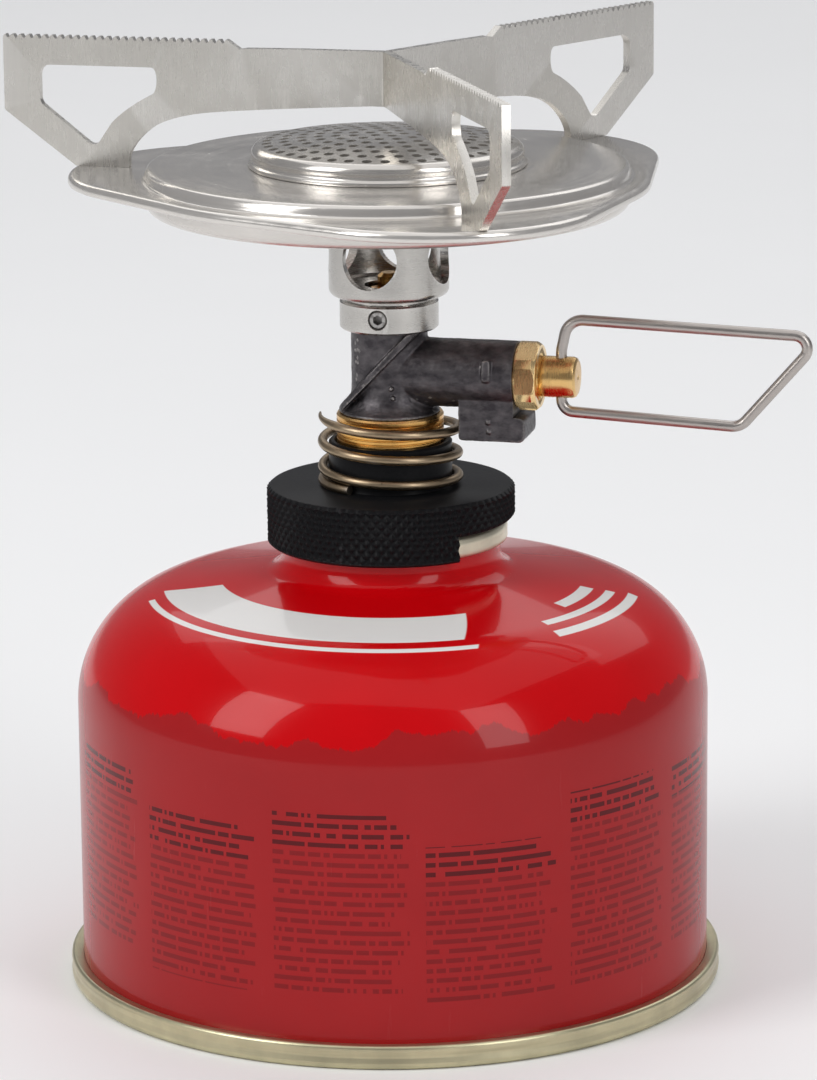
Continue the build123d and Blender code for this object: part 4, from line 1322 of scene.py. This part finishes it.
def pot_support_single():
    """The third arm, welded into the outside of the bent strip."""
    inner = 0.52
    turn = math.radians(60)
    c, s = math.cos(turn), math.sin(turn)

    def place(length, height, side):
        return (length * c - side * s, length * s + side * c, height)

    return upright_sheet("pot_support_third_arm", [arm_outline(inner), arm_window()], place)


def weld_beads():
    """Short weld beads where the third arm meets the strip and where the arms stand on the plate."""
    beads = []
    for side in (-1, 1):
        path = []
        radii = []
        for step in range(25):
            height = arm_top - 7.9 + 6.4 * step / 24
            turn = math.radians(60 + side * 42)
            reach = 0.95 + 0.04 * math.sin(step * 2.1)
            path.append((reach * math.cos(turn), reach * math.sin(turn), height))
            radii.append(0.34 + 0.05 * math.sin(step * 1.7) if 0 < step < 24 else 0.16)
        beads.append(tube("weld", path, radii, 12))
    return join("arm_weld_beads", beads)


# ------------------------------------------------------------------ finishes by material slot
finishes = {
    "can_paint": can_paint(),
    "can_rim": lacquered_tin("can_rim", (0.50, 0.46, 0.30), 0.34),
    "tinplate": lacquered_tin("tinplate", (0.62, 0.58, 0.45), 0.38),
    "rubber": rubber("rubber"),
    "boss_steel": steel("boss_steel", (0.52, 0.50, 0.47), 0.3, (300, 300, 9000), turned=True),
    "white_plastic": plastic("white_plastic"),
    "spring_steel": steel("spring_steel", (0.42, 0.41, 0.40), 0.32, (1500, 1500, 1500)),
    "brass": brass("brass", (0.72, 0.38, 0.09), 0.22, (500, 500, 9000)),
    "casting": casting_metal("casting"),
    "burner_steel": steel("burner_steel", (0.70, 0.67, 0.63), 0.17, (1500, 60, 1500), 0.03, True, 0.015, 0.7),
    "cap_steel": steel("cap_steel", (0.66, 0.63, 0.59), 0.21, (1300, 60, 2600), 0.04, True, 0.02, 0.8),
    "arm_steel": steel("arm_steel", (0.62, 0.595, 0.55), 0.27, (2600, 2600, 160), 0.05, False, 0.025),
    "screw_steel": steel("screw_steel", (0.25, 0.24, 0.23), 0.35, (2500, 2500, 2500)),
    "bronze_wire": steel("bronze_wire", (0.36, 0.27, 0.17), 0.33, (2200, 2200, 2200), 0.15),
    "black_anodised": anodised("black_anodised"),
    "handle_wire": steel("handle_wire", (0.50, 0.46, 0.43), 0.32, (200, 5000, 5000), 0.12),
}
tube_finish = steel("tube_steel", (0.56, 0.54, 0.51), 0.24, (300, 300, 9000), 0.10, turned=True)
knob_finish = brass("spindle_brass", (0.78, 0.50, 0.20), 0.22, (9000, 420, 420))


def dress_cad_nodes():
    """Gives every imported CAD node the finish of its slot."""
    for node, slot in SLOT_OF.items():
        mesh = frame["nodes"][node].data
        mesh.materials.clear()
        mesh.materials.append(finishes[slot])


dress_cad_nodes()


def finish_by_slot(piece, *nodes):
    return finish_piece(piece, finishes[SLOT_OF[nodes[0]]], *nodes)


finish_by_slot(can_body(), "can_shell")
finish_by_slot(foot_seam(), "can_base")
finish_by_slot(cup_curl(), "valve_cup")
finish_by_slot(threaded_boss(), "threaded_boss")
plate_part, skirt_part = lock_collar()
finish_by_slot(plate_part, "lock_collar")
finish_by_slot(skirt_part, "lock_collar")
spring = finish_by_slot(collar_spring(), "collar_spring")
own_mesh(spring)
finish_by_slot(neck_sleeve(), "neck_sleeve")
casting_part, spigot_part = valve_casting()
finish_by_slot(casting_part, "valve_body")
finish_by_slot(spigot_part, "valve_body")
finish_piece(gland_nut(), knob_finish, "gland_nut")
finish_piece(spindle(), knob_finish, "spindle")
finish_by_slot(wire_handle(), "wire_handle")
finish_piece(mixing_tube(), tube_finish, "mixing_tube")
finish_by_slot(set_screw(), "set_screw")
finish_by_slot(burner_pan(), "burner_pan")
finish_by_slot(burner_plate(), "burner_plate")
finish_by_slot(burner_cap(), "burner_cap")
finish_by_slot(pot_support_v(), "pot_support_v_strip")
finish_by_slot(pot_support_single(), "pot_support_single_arm")
beads = weld_beads()
beads.data.materials.append(finishes["screw_steel"])
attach(beads, BODY_OF["burner_plate"])


# ------------------------------------------------------------------ floor, light and camera
def floor():
    """A plain pale floor that fills the view."""
    half = 3000.0
    corners = [(-half, -half, 0), (half, -half, 0), (half, half, 0), (-half, half, 0)]
    piece = make_object("floor", corners, [(0, 1, 2, 3)])
    g = Graph("floor_paper")
    cloud = g.noise(g.place(), 9.0, 3.0)
    g.set(Base_Color=g.mix(cloud, (0.93, 0.93, 0.93), (0.96, 0.96, 0.96)), Roughness=0.75)
    piece.data.materials.append(g.material)


def softbox(name, place, target, width, depth, power):
    """An area light that faces a point."""
    light = bpy.data.lights.new(name, "AREA")
    light.shape = "RECTANGLE"
    light.size = width
    light.size_y = depth
    light.energy = power
    lamp = linked(name, light)
    lamp.location = place
    lamp.rotation_euler = (Vector(target) - Vector(place)).to_track_quat("-Z", "Y").to_euler()


def studio():
    """Soft boxes above and at both sides, in a pale room."""
    world = bpy.data.worlds.new("studio")
    world.use_nodes = True
    world.node_tree.nodes["Background"].inputs["Color"].default_value = (0.94, 0.95, 1.0, 1)
    world.node_tree.nodes["Background"].inputs["Strength"].default_value = 0.24
    bpy.context.scene.world = world
    middle = (0, 0, 0.07)
    softbox("top_light", (0.0, 0.05, 1.1), middle, 1.6, 1.6, 6.2)
    softbox("left_light", (-0.75, -0.75, 0.75), middle, 0.5, 0.8, 6.5)
    softbox("right_light", (0.85, -0.6, 0.6), middle, 0.35, 0.8, 3.6)
    softbox("floor_light", (0.0, 1.9, 1.5), (0, 1.7, 0), 3.0, 1.6, 17.0)
    bpy.context.scene.view_settings.view_transform = "Standard"


def camera():
    """The camera at the view that the object is usually shown from."""
    azimuth = math.radians(14.0)
    pitch = math.radians(13.83)
    pan = math.radians(0.191)
    roll = math.radians(-0.52)
    distance = 0.700
    height = 0.233
    focal_pixels = 5271
    image_height = 1080
    data = bpy.data.cameras.new("camera")
    data.sensor_width = 36
    data.lens = focal_pixels * data.sensor_width / image_height
    data.clip_start = 0.05
    data.clip_end = 50
    forward = Vector((math.sin(pan) * math.cos(pitch), math.cos(pan) * math.cos(pitch), -math.sin(pitch)))
    level = Vector((math.cos(pan), -math.sin(pan), 0))
    above = level.cross(forward)
    right = level * math.cos(roll) + above * math.sin(roll)
    up = above * math.cos(roll) - level * math.sin(roll)
    turn = Matrix.Rotation(azimuth, 3, "Z")
    axes = Matrix([turn @ right, turn @ up, turn @ -forward]).transposed()
    place = turn @ Vector((0, -distance, height))
    lens = linked("camera", data)
    lens.matrix_world = Matrix.Translation(place) @ axes.to_4x4()
    bpy.context.scene.camera = lens


floor()
studio()
camera()


# ------------------------------------------------------------------ last update of the scene
bpy.context.view_layer.update()
